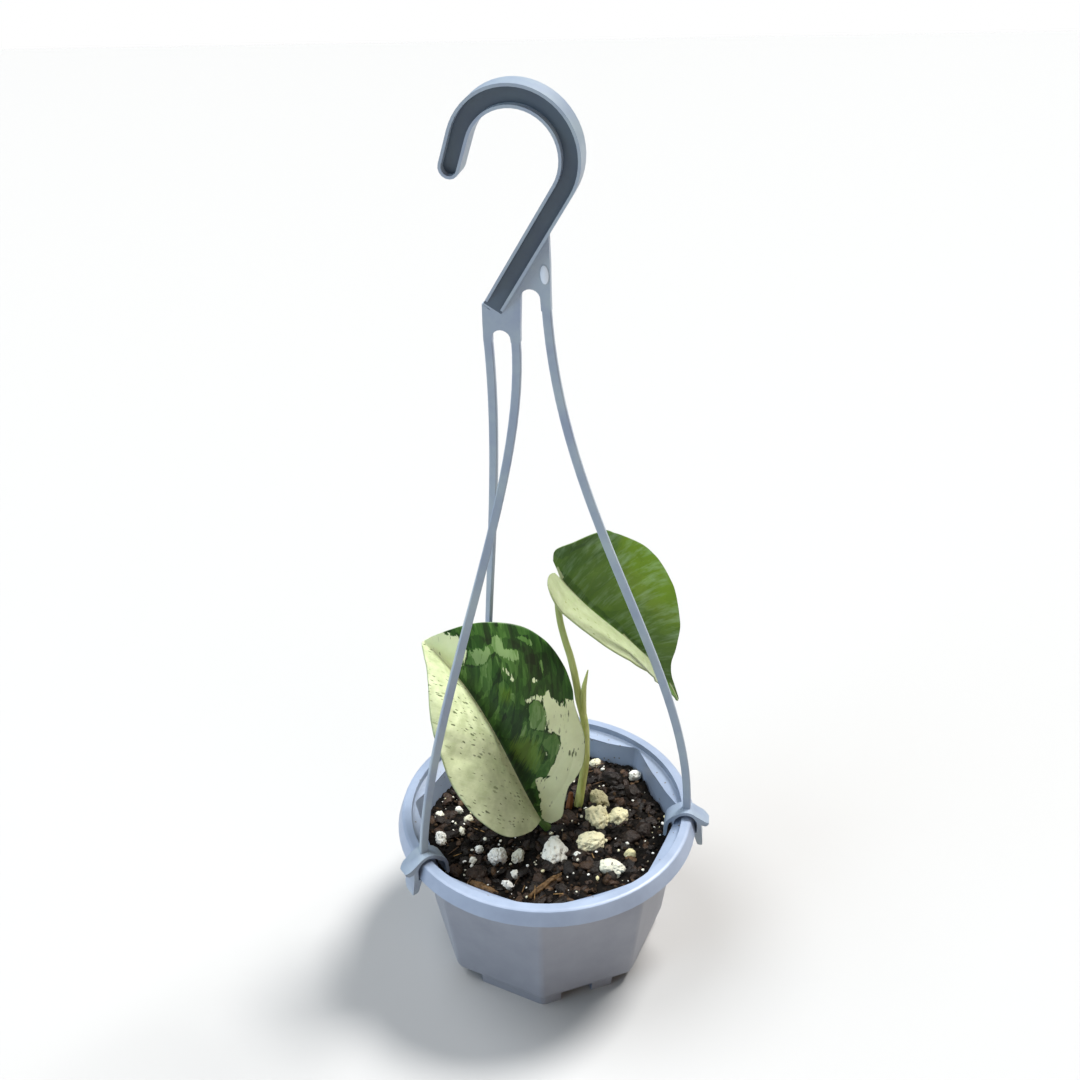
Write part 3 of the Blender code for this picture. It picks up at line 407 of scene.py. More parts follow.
frontLeaf = {
    "rib": ((-2.3, -6.0, -4.8), (-15.0, 0.9, 16.7), (-23.4, 6.4, 49.2), (-46.9, 13.3, 68.9)),
    "faces": (-86.5, 37.1),
    "turn": 20.0,
    "tip": 89.7,
    "veins": (0.5, 1.1),      # slope of the first and the last side vein
    "waves": (1.1, 0.8),      # mm, height of the soft waves on the left and the right half
    # (from, to, height and half width in mm) of soft folds
    "folds": (
        ((-28.0, 50.0), (-4.0, 30.0), -0.9, 3.2), ((-26.0, 62.0), (-6.0, 42.0), 0.7, 3.6),
        ((-24.0, 30.0), (-8.0, 16.0), 0.5, 4.0),
    ),
    "leftFolds": ((0.0, 50.0, -5.0), (1.0, 50.0, -5.0)),
    "rightFolds": ((0.0, 50.0, -9.0), (1.0, 50.0, -9.0)),
    "left": (
        (-12.3, 2.4), (-22.9, 8.1), (-29.8, 19.2), (-33.2, 31.1), (-33.9, 43.6), (-31.6, 56.3), (-29.7, 64.6),
        (-23.5, 74.2), (-11.8, 83.2), (-2.6, 88.8),
    ),
    "right": (
        (3.0, -3.1), (8.7, -2.2), (13.1, 3.5), (17.1, 8.2), (20.6, 9.8), (26.3, 13.8), (30.8, 20.6),
        (32.9, 26.5), (34.7, 36.7), (37.1, 41.7), (38.7, 47.4), (39.1, 52.0), (38.8, 56.9), (37.2, 62.5),
        (32.8, 69.9), (24.1, 77.6), (15.2, 83.1), (2.8, 88.6),
    ),
    "cream": (
        ((-45, -20), (0.0, -20), (0.0, 70.5), (3.2, 72.6), (5.2, 72.7), (8.2, 74.5), (10.0, 75.8), (10.1, 79.2),
         (11.3, 81.8), (9.8, 83.6), (8.0, 87.0), (4.0, 96.0), (-45, 96)),
        ((16.4, 63.0), (17.8, 62.4), (18.1, 60.5), (17.6, 58.1), (17.6, 56.9), (16.9, 57.7), (16.6, 60.3)),
        ((23.7, 53.9), (25.3, 53.5), (26.1, 52.2), (25.1, 51.8), (23.9, 52.8)),
        ((14.9, 27.3), (15.7, 27.1), (15.2, 24.9), (14.7, 25.2)),
        ((17.1, 48.9), (18.3, 49.5), (20.3, 48.7), (21.8, 48.4), (24.0, 46.3), (25.7, 46.0), (26.8, 47.3),
         (27.9, 46.9), (27.5, 44.9), (28.2, 43.1), (28.4, 41.3), (29.8, 39.1), (31.9, 40.8), (33.1, 39.7),
         (34.4, 38.5), (42.0, 37.0), (40.0, 10.0), (14.0, -8.0), (0.6, -8.0), (0.8, 1.2), (3.0, 6.0), (4.4, 7.7),
         (5.7, 12.2), (6.5, 17.2), (8.6, 17.3), (9.6, 16.9), (11.6, 16.8), (13.6, 18.5), (15.9, 20.9),
         (17.9, 22.5), (20.5, 25.4), (22.1, 27.1), (22.7, 29.3), (22.1, 31.3), (20.0, 32.9), (19.5, 35.2),
         (21.7, 39.7), (22.5, 41.6), (22.7, 44.2), (22.6, 46.1), (21.9, 47.1), (20.4, 47.5), (18.2, 47.2),
         (17.1, 46.8)),
    ),
    "pale": (
        ((17.0, 46.6), (18.2, 47.2), (20.4, 47.5), (22.3, 46.4), (22.6, 43.9), (22.5, 41.6), (21.7, 39.7),
         (19.4, 35.3), (17.9, 35.3), (15.6, 37.2), (14.0, 38.0), (15.1, 41.6)),
        ((20.7, 74.3), (22.3, 73.5), (23.3, 71.7), (22.1, 69.8), (20.8, 67.7), (20.2, 65.4), (18.7, 66.8),
         (17.8, 68.9), (15.7, 69.6), (13.3, 68.4), (9.9, 69.0), (7.0, 71.0), (5.4, 72.4), (8.0, 73.7),
         (10.2, 76.1), (11.9, 74.4), (14.2, 73.5), (14.9, 71.7), (16.6, 73.0), (18.7, 72.3)),
        ((21.1, 67.5), (24.0, 66.7), (25.4, 65.0), (25.3, 62.8), (22.6, 62.3), (20.9, 64.1)),
        ((27.8, 68.6), (30.7, 67.5), (33.1, 63.8), (32.3, 62.5), (30.1, 63.9), (29.7, 65.5)),
        ((30.5, 57.8), (31.6, 56.8), (30.1, 54.0), (28.1, 53.7), (28.9, 56.2)),
    ),
    "middle": (
        ((14.0, 37.2), (17.7, 34.9), (20.0, 32.9), (22.4, 31.1), (22.1, 27.1), (20.5, 25.4), (17.6, 22.7),
         (13.6, 18.5), (11.6, 16.8), (8.8, 17.7), (6.7, 17.6), (8.0, 22.8), (9.7, 28.2), (13.0, 33.5)),
        ((11.1, 59.1), (15.3, 59.1), (15.2, 55.2), (14.0, 51.9), (9.5, 48.5), (7.1, 47.1), (4.5, 45.6),
         (3.6, 47.7), (7.8, 52.6)),
        ((14.5, 44.3), (15.4, 43.1), (13.1, 38.5), (10.0, 35.7), (8.7, 37.1), (11.5, 40.9)),
        ((2.2, 71.4), (5.3, 71.2), (8.3, 69.2), (11.2, 67.3), (14.1, 68.7), (17.2, 68.2), (17.8, 64.6),
         (16.0, 62.0), (11.0, 60.5), (6.0, 57.0), (2.5, 57.5), (0.7, 64.2)),
        ((1.5, 4.5), (3.5, 7.0), (5.0, 12.0), (5.6, 17.0), (3.6, 14.0), (2.2, 9.5)),
    ),
    "dark": (
        ((14.6, 79.0), (17.7, 77.4), (19.8, 73.4), (18.1, 73.1), (16.5, 73.4), (15.1, 72.4), (14.2, 73.9),
         (11.6, 75.0), (10.7, 76.6), (12.4, 78.2)),
        ((23.1, 71.1), (26.1, 69.8), (28.5, 65.3), (28.9, 63.1), (26.3, 62.9), (25.6, 65.3), (21.5, 68.0)),
        ((27.1, 61.7), (29.6, 61.2), (35.1, 58.3), (34.2, 54.5), (31.8, 52.2), (26.6, 51.6), (23.8, 54.0),
         (25.3, 58.4)),
        ((0.0, 20.0), (4.0, 22.0), (9.0, 30.0), (12.0, 36.0), (9.0, 36.5), (4.0, 38.0), (0.0, 40.0)),
        ((5.2, 84.6), (6.6, 84.9), (7.6, 84.2), (6.4, 83.2)),
    ),
    "yellow": (
        ((3.5, 37.1), (11.8, 37.5), (16.0, 31.7), (13.1, 23.7), (8.7, 19.9), (5.3, 20.2), (3.3, 25.7), (1.8, 31.9)),
        ((11.5, 60.2), (16.2, 54.8), (12.5, 48.8), (7.8, 53.1)),
    ),
    "flecked": (
        ((-6.4, 70.9), (0.7, 65.4), (-4.4, 60.7), (-12.2, 59.7), (-18.5, 63.2)),
        ((-23.6, 62.4), (-17.0, 57.3), (-10.1, 46.8), (-12.7, 44.8), (-24.8, 49.8), (-27.4, 57.7)),
        ((-15.6, 81.2), (-10.5, 76.5), (-20.0, 70.2), (-24.6, 71.1), (-21.1, 76.2)),
        ((31.3, 38.3), (35.3, 36.7), (29.5, 24.0), (25.4, 18.8), (23.2, 22.1), (29.0, 31.7)),
    ),
}

backLeaf = {
    "rib": ((7.0, 21.1, 92.2), (20.9, 20.6, 71.9), (45.9, 22.6, 58.4), (54.7, 19.1, 35.1)),
    "faces": (-95.4, 32.0),
    "turn": -42.0,
    "tip": 75.2,
    "veins": (-0.45, 1.05),
    "waves": (0.7, 0.2),
    "folds": (),
    "leftFolds": ((0.0, 50.0, 6.0), (0.85, 50.0, 6.0), (1.0, 20.0, 6.0)),
    "rightFolds": (
        (0.0, 45.0, 11.0), (0.27, 51.0, 17.0), (0.4, 53.0, 19.0), (0.55, 51.5, 17.5), (0.65, 46.0, 12.0),
        (0.72, 37.0, 3.0), (0.8, 27.0, -7.0), (1.0, 17.0, -17.0),
    ),
    "left": (
        (-1.8, -7.6), (-5.3, -10.5), (-13.0, -8.2), (-22.1, -4.9), (-27.4, -0.6), (-34.1, 18.8), (-34.7, 27.7),
        (-33.1, 33.7), (-30.8, 38.5), (-28.1, 42.4), (-21.5, 48.6), (-18.2, 51.6), (-14.2, 54.0), (-10.1, 56.5),
        (-5.7, 59.2), (-2.8, 63.4), (-1.5, 68.6), (-0.7, 74.4),
    ),
    "right": (
        (3.6, -4.8), (10.8, -8.4), (16.7, -10.1), (21.6, -9.9), (24.9, -7.3), (26.6, -3.6), (27.2, 1.4),
        (28.9, 7.0), (30.9, 13.6), (32.8, 20.9), (32.5, 30.6), (29.4, 38.4), (24.2, 45.0), (18.6, 50.2),
        (12.8, 55.2), (8.0, 60.2), (4.6, 66.6), (1.8, 71.4), (0.7, 74.4),
    ),
    "cream": (
        ((0.0, -20.0), (45.0, -20.0), (45.0, 66.0), (3.2, 66.0), (0.6, 60.0), (-0.3, 55.0), (0.2, 44.0),
         (-0.8, 36.0), (1.6, 34.6), (0.2, 30.0), (0.3, 18.0), (-0.2, 8.0)),
        ((-0.7, 66.0), (0.2, 66.0), (0.2, 77.0), (-0.3, 77.0)),
        ((-2.0, -4.6), (1.0, -4.6), (1.0, 1.2), (-1.4, 0.6)),
    ),
    "pale": (
        ((1.5, 12.0), (6.5, 12.1), (14.1, 9.5), (13.7, 7.9), (7.1, 8.5)),
    ),
    "middle": (
        ((28.8, 26.5), (27.4, 28.7), (27.7, 31.3), (29.5, 30.5), (30.0, 28.4)),
    ),
    "dark": (
        ((-1.8, -12.0), (-5.0, -12.0), (-12.0, -10.2), (-30.0, -4.8), (-18.8, -2.2), (-10.1, -5.5), (-5.0, -6.2)),
        ((0.0, -4.0), (-3.0, -2.0), (-2.4, 20.0), (-2.0, 50.0), (0.0, 60.0)),
    ),
    "yellow": (
        ((-36.0, 4.0), (-22.0, 8.0), (-14.0, 24.0), (-12.0, 44.0), (-18.0, 54.0), (-38.0, 44.0)),
    ),
    "flecked": (
        ((5.0, 2.0), (16.0, 2.0), (16.0, 16.0), (5.0, 16.0)),
    ),
}


def curvePoint(points, share):
    a, b, c, d = points
    rest = 1.0 - share
    return a * rest**3 + b * 3 * rest**2 * share + c * 3 * rest * share**2 + d * share**3


def bent(length, start, end):
    # How far a strip runs out and rises when it bends evenly from one angle to another
    turn = end - start
    if abs(turn) < 1e-6:
        return length * math.cos(start), length * math.sin(start)
    return length * (math.sin(end) - math.sin(start)) / turn, length * (math.cos(start) - math.cos(end)) / turn


class BentLeaf:
    # Bends a flat leaf (across, along the rib) into space

    def __init__(self, leaf):
        points = [Vector(point) for point in leaf["rib"]]
        self.steps = leafForm["ribSteps"]
        fine = [curvePoint(points, step / (2 * self.steps)) for step in range(2 * self.steps + 1)]
        self.rib = spacedEvenly(fine, self.steps)
        self.length = sum((b - a).length for a, b in zip(fine, fine[1:]))
        self.leaf = leaf
        azimuth, height = (math.radians(angle) for angle in leaf["faces"])
        level = math.cos(height)
        self.faces = Vector((math.cos(azimuth) * level, math.sin(azimuth) * level, math.sin(height)))

    def onRib(self, along):
        # Place and direction on the rib, which runs straight on beyond its ends
        last = self.steps
        where = min(max(along / self.length, 0.0), 1.0) * last
        index = min(int(where), last - 1)
        place = self.rib[index].lerp(self.rib[index + 1], where - index)
        # The direction is blended too, so that the finer net shows no steps
        first = self.rib[index + 1] - self.rib[max(index - 1, 0)]
        second = self.rib[min(index + 2, last)] - self.rib[index]
        run = first.normalized().lerp(second.normalized(), where - index).normalized()
        return place + run * (along - where / last * self.length), run

    def folds(self, across, along):
        # How far the blade is folded up at the rib and at the margin
        table = self.leaf["rightFolds"] if across >= 0 else self.leaf["leftFolds"]
        share = min(max(along / self.length, 0.0), 1.0)
        for before, after in zip(table, table[1:]):
            if share <= after[0]:
                part = (share - before[0]) / (after[0] - before[0])
                break
        return [math.radians(before[k] + (after[k] - before[k]) * part) for k in (1, 2)]

    def place(self, across, along):
        # A place of the flat leaf in space
        place, run = self.onRib(along)
        side = run.cross(self.faces).normalized()
        face = side.cross(run)
        turn = math.radians(self.leaf["turn"])
        side, face = (
            side * math.cos(turn) - face * math.sin(turn),
            face * math.cos(turn) + side * math.sin(turn),
        )
        atRib, atMargin = self.folds(across, along)
        away = abs(across)
        near = min(away, leafForm["ribRound"])
        far = away - near
        out, rise = bent(near, 0.0, atRib * near / leafForm["ribRound"])
        moreOut, moreRise = bent(far, atRib, atRib + (atMargin - atRib) * far / leafForm["reach"])
        sign = 1.0 if across >= 0 else -1.0
        place = place + side * sign * (out + moreOut) + face * (rise + moreRise)
        return place * mm + rimCentre


def depthInside(places, outlines):
    # Signed distance in mm to the nearest of some closed outlines, + on the inside
    best = np.full(len(places), -50.0)
    for outline in outlines:
        corners = np.array(outline, float)
        following = np.roll(corners, -1, axis=0)
        nearest = np.full(len(places), 1e9)
        inside = np.zeros(len(places), bool)
        for a, b in zip(corners, following):
            run = b - a
            share = np.clip(((places - a) @ run) / (run @ run), 0, 1)
            nearest = np.minimum(nearest, np.linalg.norm(places - a - share[:, None] * run, axis=1))
            if a[1] != b[1]:
                crosses = (a[1] > places[:, 1]) != (b[1] > places[:, 1])
                inside ^= crosses & (places[:, 0] < a[0] + (places[:, 1] - a[1]) * run[0] / run[1])
        best = np.maximum(best, np.where(inside, nearest, -nearest))
    return best


def veinPlace(leaf, across, along):
    # Along a side vein, and where on the rib that vein starts, in mm; the veins fan out from base to tip
    away = abs(across)
    first, last = leaf["veins"]
    start = along - first * away - leafForm["veinCurve"] * away * away
    return away, start / (1 + (last - first) * away / leaf["tip"])


def leafRelief(leaf, across, along, offset):
    # Height over the flat blade in mm: rib groove, side veins, soft waves and folds
    away, vein = veinPlace(leaf, across, along)
    depth, width = leafForm["ribGroove"]
    height = -depth * math.exp(-((away / width) ** 2))
    phase = vein / leafForm["veinSpacing"] + 0.25 * noise.noise(Vector((away * 0.05, vein * 0.06, offset)))
    ridge = abs((phase % 1.0) - 0.5) * 2
    first, last, fading = leafForm["veinFade"]
    fade = min(away / first, 1.0) * min(max(last - away, 0.0) / fading, 1.0)
    height += leafForm["veinDepth"] * (ridge ** 3 * -1.4 + 0.4) * fade
    left, right = leaf["waves"]
    place = Vector((across / leafForm["waveSize"], along / leafForm["waveSize"], offset + 3.0))
    waves = noise.noise(place) + 0.35 * noise.noise(place * 2.7)
    height += (left if across < 0 else right) * waves * min(away / 6.0, 1.0)
    for start, end, rise, width in leaf["folds"]:
        a, b, here = Vector(start), Vector(end), Vector((across, along))
        run = b - a
        share = min(max((here - a).dot(run) / run.dot(run), 0.0), 1.0)
        far = (here - a - run * share).length / width
        height += rise * math.exp(-far * far) * min(away / 5.0, 1.0)
    return height


def makeLeaf(name, leaf, offset, materials, node):
    # A net from rib to margin, with its flat places and markings kept as attributes for the surface
    form = BentLeaf(leaf)
    rows = leafForm["rows"]
    columns = leafForm["columns"]
    margins = {}
    for side in ("left", "right"):
        outline = smoothThrough([Vector(place) for place in leaf[side]], leafForm["outlineSteps"])
        margins[side] = spacedEvenly(outline, rows)
    shape = bmesh.new()
    bmesh.ops.create_grid(shape, x_segments=2 * columns, y_segments=rows, size=1.0)
    flatPlaces = shape.verts.layers.float_vector.new("flatPlace")
    veinPlaces = shape.verts.layers.float_vector.new("veinPlace")
    fromMargin = shape.verts.layers.float.new("fromMargin")
    for vert in shape.verts:
        row = round((vert.co.y + 1) / 2 * rows)
        onRib = Vector((0.0, leaf["tip"] * (row / rows) ** leafForm["ribCrowding"]))
        margin = margins["right" if vert.co.x > 0 else "left"][row]
        flat = onRib.lerp(margin, abs(vert.co.x) ** leafForm["columnCrowding"])
        away, vein = veinPlace(leaf, flat.x, flat.y)
        vert[flatPlaces] = Vector((flat.x, flat.y, 0.0))
        vert[fromMargin] = (flat - margin).length
        vert[veinPlaces] = Vector((away, vein, offset + (20.0 if flat.x > 0 else 0.0)))
        vert.co = form.place(flat.x, flat.y)
    bmesh.ops.remove_doubles(shape, verts=shape.verts, dist=0.004 * mm)
    bmesh.ops.recalc_face_normals(shape, faces=shape.faces)
    shape.verts.ensure_lookup_table()
    # The upper face looks up out of the fold, towards the direction that the leaf faces
    middle = sum((face.normal * face.calc_area() for face in shape.faces), Vector())
    if middle.dot(form.faces) < 0:
        bmesh.ops.reverse_faces(shape, faces=shape.faces)
    shape.normal_update()
    for vert in shape.verts:
        flat = vert[flatPlaces]
        vert.co += vert.normal * leafRelief(leaf, flat.x, flat.y, offset) * mm
    flats = np.array([tuple(vert[flatPlaces])[:2] for vert in shape.verts])
    for marking in ("cream", "pale", "middle", "dark", "yellow", "flecked"):
        layer = shape.verts.layers.float.new(marking)
        depths = depthInside(flats, leaf[marking])
        for vert, depth in zip(shape.verts, depths):
            vert[layer] = float(depth)
    piece = finishPiece(name, shape, materials, [node], 60.0)
    thicken = piece.modifiers.new("Blade", "SOLIDIFY")
    thicken.thickness = leafForm["blade"] * mm
    thicken.offset = 0.0
    thicken.material_offset = 1
    thicken.material_offset_rim = 1


# Leaf surfaces: a satin cuticle over green tissue, or over tissue without chlorophyll that looks cream.
# The markings have crisp, slightly ragged borders; the green is a mosaic of patches along the veins.

def makeLeafSurface(name, look):
    material, tree, shader = newMaterial(name, {
        "Roughness": look["roughness"],
        "IOR": 1.38,
        "Subsurface Weight": look["glow"],
        "Subsurface Radius": (0.6, 1.0, 0.3),
        "Subsurface Scale": 0.6 * mm,
    })

    def read(attribute, output="Fac"):
        return addNode(tree, "Attribute", attribute_name=attribute).outputs[output]

    flat = read("flatPlace", "Vector")
    veins = read("veinPlace", "Vector")

    def product(a, b):
        return addMath(tree, "MULTIPLY", a, b)

    def clamped(value):
        return addMath(tree, "MINIMUM", addMath(tree, "MAXIMUM", value, 0.0), 1.0)

    def weighted(base, *terms):
        # A number plus each value times its weight
        for value, weight in terms:
            base = addMath(tree, "MULTIPLY_ADD", value, weight, base)
        return base

    def scaled(vector, length, width):
        # Coordinates whose unit is a length along the veins and a width across them, in mm
        return addNode(tree, "Mapping", {"Vector": vector, "Scale": (1 / length, 1 / width, 1.0)}).outputs["Vector"]

    def noiseOn(vector, size, stretch, detail=2.0, rough=0.5):
        # Noise with features of a size in mm, stretched along the veins
        return addNoise(tree, scaled(vector, size * stretch, size), 1.0, detail, rough)

    def mosaic(length, width, waveSize, waveDetail, bend):
        # Cells along the veins with wavy borders: their random colours' channels and the distance inside them
        place = scaled(veins, length, width)
        waves = addNoise(tree, place, waveSize, waveDetail, output="Color")
        moved = addNode(tree, "VectorMath", {0: waves, 1: (bend, bend, 0.0), 2: place}, operation="MULTIPLY_ADD")
        cells = addNode(tree, "TexVoronoi", {"Vector": moved.outputs["Vector"], "Scale": 1.0}).outputs
        return addNode(tree, "SeparateColor", {"Color": cells["Color"]}).outputs, cells["Distance"]

    def patches(size, stretch):
        # A random value for each patch
        return mosaic(size * stretch, size, 1.6, 2.0, 0.5)[0]["Red"]

    def marking(name, sharpness, border):
        # 1 inside a marking's outline, which the border moves in and out in mm
        return clamped(product(addMath(tree, "ADD", read(name), border), sharpness))

    # Borders step from cell to cell along the veins and are slightly frayed, but run clean along the rib
    cellStep = weighted(-0.5 * look["stepped"], (patches(1.3, 2.2), look["stepped"]))
    frayed = weighted(-0.5 * look["ragged"], (noiseOn(veins, 0.9, 2.0, 4.0, 0.65), look["ragged"]))
    away = addNode(tree, "SeparateXYZ", {"Vector": veins}).outputs["X"]
    ragged = product(addMath(tree, "ADD", cellStep, frayed), clamped(product(away, 0.35)))
    size, stretch = look["patch"]
    coarse = patches(size, stretch)
    medium = patches(size * 0.45, stretch * 1.1)
    small = patches(size * 0.2, stretch * 1.3)
    streaks = noiseOn(veins, 0.5, 10.0, 4.0, 0.65)

    # Each green marking lifts or lowers the same mosaic, so that its texture runs on through all of them
    patchBorder = weighted(-0.7, (medium, 0.9), (small, 0.6))
    parts = ((coarse, 0.42), (medium, 0.34), (small, 0.12), (streaks, 0.12))
    lifts = (("pale", 4.0, look["paleLift"]), ("middle", 3.0, look["middleLift"]), ("dark", 3.0, -look["darkDrop"]))
    level = weighted(
        look["level"] - look["contrast"] / 2,
        *((value, share * look["contrast"]) for value, share in parts),
        *((marking(name, sharpness, patchBorder), lift) for name, sharpness, lift in lifts),
    )
    green = addRamp(tree, level, look["greens"])
    warm = marking("yellow", 0.3, weighted(-6.0, (streaks, 12.0)))
    green = addMix(tree, product(warm, look["yellowShare"]), green, look["yellow"])
    # Haze on the raised tissue between the veins
    haze = clamped(weighted(
        -4 * look["hazeFrom"], (noiseOn(veins, 3.0, 3.0, 3.0, 0.6), 2.8), (noiseOn(veins, 0.8, 9.0, 3.0, 0.6), 1.2)
    ))
    green = addMix(tree, product(haze, look["hazeShare"]), green, look["haze"])

    cream = addRamp(tree, noiseOn(flat, 7.0, 1.0, 4.0, 0.6), look["creams"])
    streak = product(addMath(tree, "SUBTRACT", noiseOn(veins, 0.6, 7.0, 3.0), 0.45), 0.7)
    cream = addMix(tree, streak, cream, look["creamStreak"])
    # Painted light: the cream on the front leaf's right half is lightened towards white
    right = addMath(tree, "GREATER_THAN", addNode(tree, "SeparateXYZ", {"Vector": flat}).outputs["X"], 0.0)
    cream = addMix(tree, product(right, look["rightPaintedLight"]), cream, "#e4efc4")
    # Dark flecks in loose groups, and finer dots all over
    groups = clamped(weighted(
        -5 * look["fleckFrom"], (noiseOn(flat, 14.0, 1.0), 5.0), (marking("flecked", 0.4, 1.0), 2.4)
    ))
    for length, width, share, radius, strength in (
        (2.3, 1.7, look["fleckShare"], 0.43, product(groups, 0.85)), (1.9, 1.4, 0.6, 0.34, 0.7),
    ):
        channels, distance = mosaic(length, width, 3.0, 3.0, 0.7)
        near = addMath(tree, "SUBTRACT", product(channels["Green"], radius), distance)
        chosen = addMath(tree, "GREATER_THAN", channels["Red"], share)
        spot = product(product(clamped(product(near, 12.0)), chosen), strength)
        cream = addMix(tree, spot, cream, look["fleckColour"])

    surface = addMix(tree, marking("cream", 4.0, ragged), green, cream)
    rim = clamped(weighted(look["marginWidth"] * 3, (read("fromMargin"), -3.0)))
    surface = addMix(tree, product(rim, 0.5), surface, look["margin"])
    addSkin(tree, shader, surface, noiseOn(veins, 0.35, 2.5, 3.0, 0.6), look["bump"], 0.12)
    return material


frontLook = {
    "roughness": 0.42, "glow": 0.08, "bump": 0.25, "ragged": 0.9, "stepped": 1.3,
    "patch": (5.0, 1.5),  # size in mm and how much longer it is along the veins
    "level": 0.4, "contrast": 0.85, "paleLift": 0.46, "middleLift": 0.17, "darkDrop": 0.2,
    "greens": (
        (0.0, "#0d230c"), (0.22, "#163311"), (0.42, "#264b1a"), (0.6, "#3d6628"), (0.78, "#5a7f42"),
        (1.0, "#7f9d66"),
    ),
    "yellow": "#6b8a24", "yellowShare": 0.5, "haze": "#7c9a63", "hazeFrom": 0.58, "hazeShare": 0.18,
    "creams": ((0.36, "#b2be93"), (0.64, "#d0dab2")), "creamStreak": "#dee5c8", "rightPaintedLight": 0.65,
    "fleckFrom": 0.4, "fleckShare": 0.2, "fleckColour": "#384a20",
    "margin": "#58733a", "marginWidth": 0.35,
}
frontUnderLook = dict(
    frontLook, roughness=0.55, bump=0.15, contrast=0.6, level=0.5, fleckShare=0.6,
    greens=((0.0, "#3f5c30"), (0.4, "#54754a"), (0.7, "#6a8b58"), (1.0, "#8ba676")),
    creams=((0.3, "#b7c398"), (0.7, "#c9d3ad")), creamStreak="#d3dcb9", haze="#8aa572",
)
backLook = {
    "roughness": 0.36, "glow": 0.08, "bump": 0.25, "ragged": 0.8, "stepped": 0.6,
    "patch": (9.0, 2.2), "level": 0.5, "contrast": 0.5, "paleLift": 0.3, "middleLift": 0.1, "darkDrop": 0.3,
    "greens": ((0.0, "#2a4b14"), (0.3, "#3c5e1a"), (0.55, "#4c6d20"), (0.8, "#5f802f"), (1.0, "#7f9a54")),
    "yellow": "#6a8224", "yellowShare": 0.35, "haze": "#8aa986", "hazeFrom": 0.48, "hazeShare": 0.55,
    "creams": ((0.34, "#98a27b"), (0.66, "#a9b48f")), "creamStreak": "#b6bea0", "rightPaintedLight": 0.0,
    "fleckFrom": 0.62, "fleckShare": 0.75, "fleckColour": "#6d7a3c",
    "margin": "#4b5a22", "marginWidth": 0.45,
}
backUnderLook = dict(
    backLook, roughness=0.55, bump=0.15, contrast=0.4, haze="#93ad74", hazeShare=0.3,
    greens=((0.0, "#5c7d42"), (0.5, "#77985a"), (1.0, "#93ad74")),
    creams=((0.3, "#b4bf8e"), (0.7, "#c3cda0")), creamStreak="#ced7b0",
)
for side, leaf, offset, upper, under in (
    ("front", frontLeaf, 1.7, frontLook, frontUnderLook), ("back", backLeaf, 8.3, backLook, backUnderLook),
):
    surfaces = [
        makeLeafSurface(f"satin leaf, {side}, upper side", upper),
        makeLeafSurface(f"satin leaf, {side}, underside", under),
    ]
    makeLeaf(side + "_leaf", leaf, offset, surfaces, "leaf_" + side)
print("leaves done")


# Stalks: round, smooth, slightly ribbed along their length. Each line is (x, y, z, radius) in mm
# from the middle of the rim's top.

stalks = {
    "sides": 20,
    "steps": 110,
    "back": (
        (12.0, 9.6, -21.6, 1.9), (13.5, 11.4, -11.9, 1.9), (14.5, 12.6, -5.5, 1.8), (15.6, 13.8, 1.6, 1.75),
        (16.5, 14.9, 8.6, 1.7), (16.6, 15.7, 14.5, 1.7), (16.5, 16.9, 22.6, 1.65), (15.6, 18.0, 29.4, 1.6),
        (14.0, 19.0, 36.2, 1.55), (13.0, 19.8, 43.1, 1.5), (11.8, 20.4, 50.0, 1.5), (10.3, 20.8, 57.0, 1.45),
        (8.4, 21.3, 63.8, 1.4), (6.6, 21.9, 71.7, 1.35), (5.8, 22.7, 78.3, 1.35), (5.7, 23.2, 84.5, 1.4),
        (5.9, 22.3, 91.0, 1.2),
    ),
    "spear": (
        (16.2, 17.3, 24.0, 0.8), (15.8, 17.8, 30.0, 1.2), (15.6, 17.7, 36.2, 1.3), (15.9, 17.8, 43.0, 1.05),
        (16.6, 18.2, 46.9, 0.7), (17.5, 18.6, 51.1, 0.25),
    ),
    "front": ((6.4, -2.1, -20.2, 1.8), (0.8, -3.5, -12.0, 1.8), (-1.0, -3.9, -9.5, 1.6), (-3.2, -4.5, -6.1, 1.25)),
    "stub": ((7.7, 8.0, -21.0, 1.3), (9.3, 9.6, -12.0, 1.3), (9.9, 10.2, -8.6, 1.2), (10.3, 10.6, -5.2, 0.9)),
}


def addStalk(shape, points, ribbing):
    # One disc extruded along a smooth line through the places, each with its radius
    steps = stalks["steps"]
    sides = stalks["sides"]
    places = smoothThrough([Vector(point[:3]) * mm + rimCentre for point in points], steps)
    radii = smoothThrough([Vector((point[3], 0.0)) * mm for point in points], steps)
    ring = bmesh.ops.create_circle(shape, cap_ends=True, segments=sides, radius=1.0)["verts"]
    face = ring[0].link_faces[0]
    corners = list(face.verts)
    side = Vector((1.0, 0.0, 0.0))
    rings = []
    for step, place in enumerate(places):
        run = (places[min(step + 1, steps)] - places[max(step - 1, 0)]).normalized()
        side = (side - run * side.dot(run)).normalized()
        other = run.cross(side)
        ring = []
        for corner in range(sides):
            angle = 2 * math.pi * corner / sides
            swell = radii[step].x * (1 + ribbing * math.cos(5 * angle + step * 0.02))
            ring.append(place + (side * math.cos(angle) + other * math.sin(angle)) * swell)
        rings.append(ring)
    for vert, place in zip(corners, rings[0]):
        vert.co = place
    for ring in rings[1:]:
        face = bmesh.ops.extrude_discrete_faces(shape, faces=[face])["faces"][0]
        for vert, place in zip(face.verts, ring):
            vert.co = place
    bmesh.ops.contextual_create(shape, geom=corners)


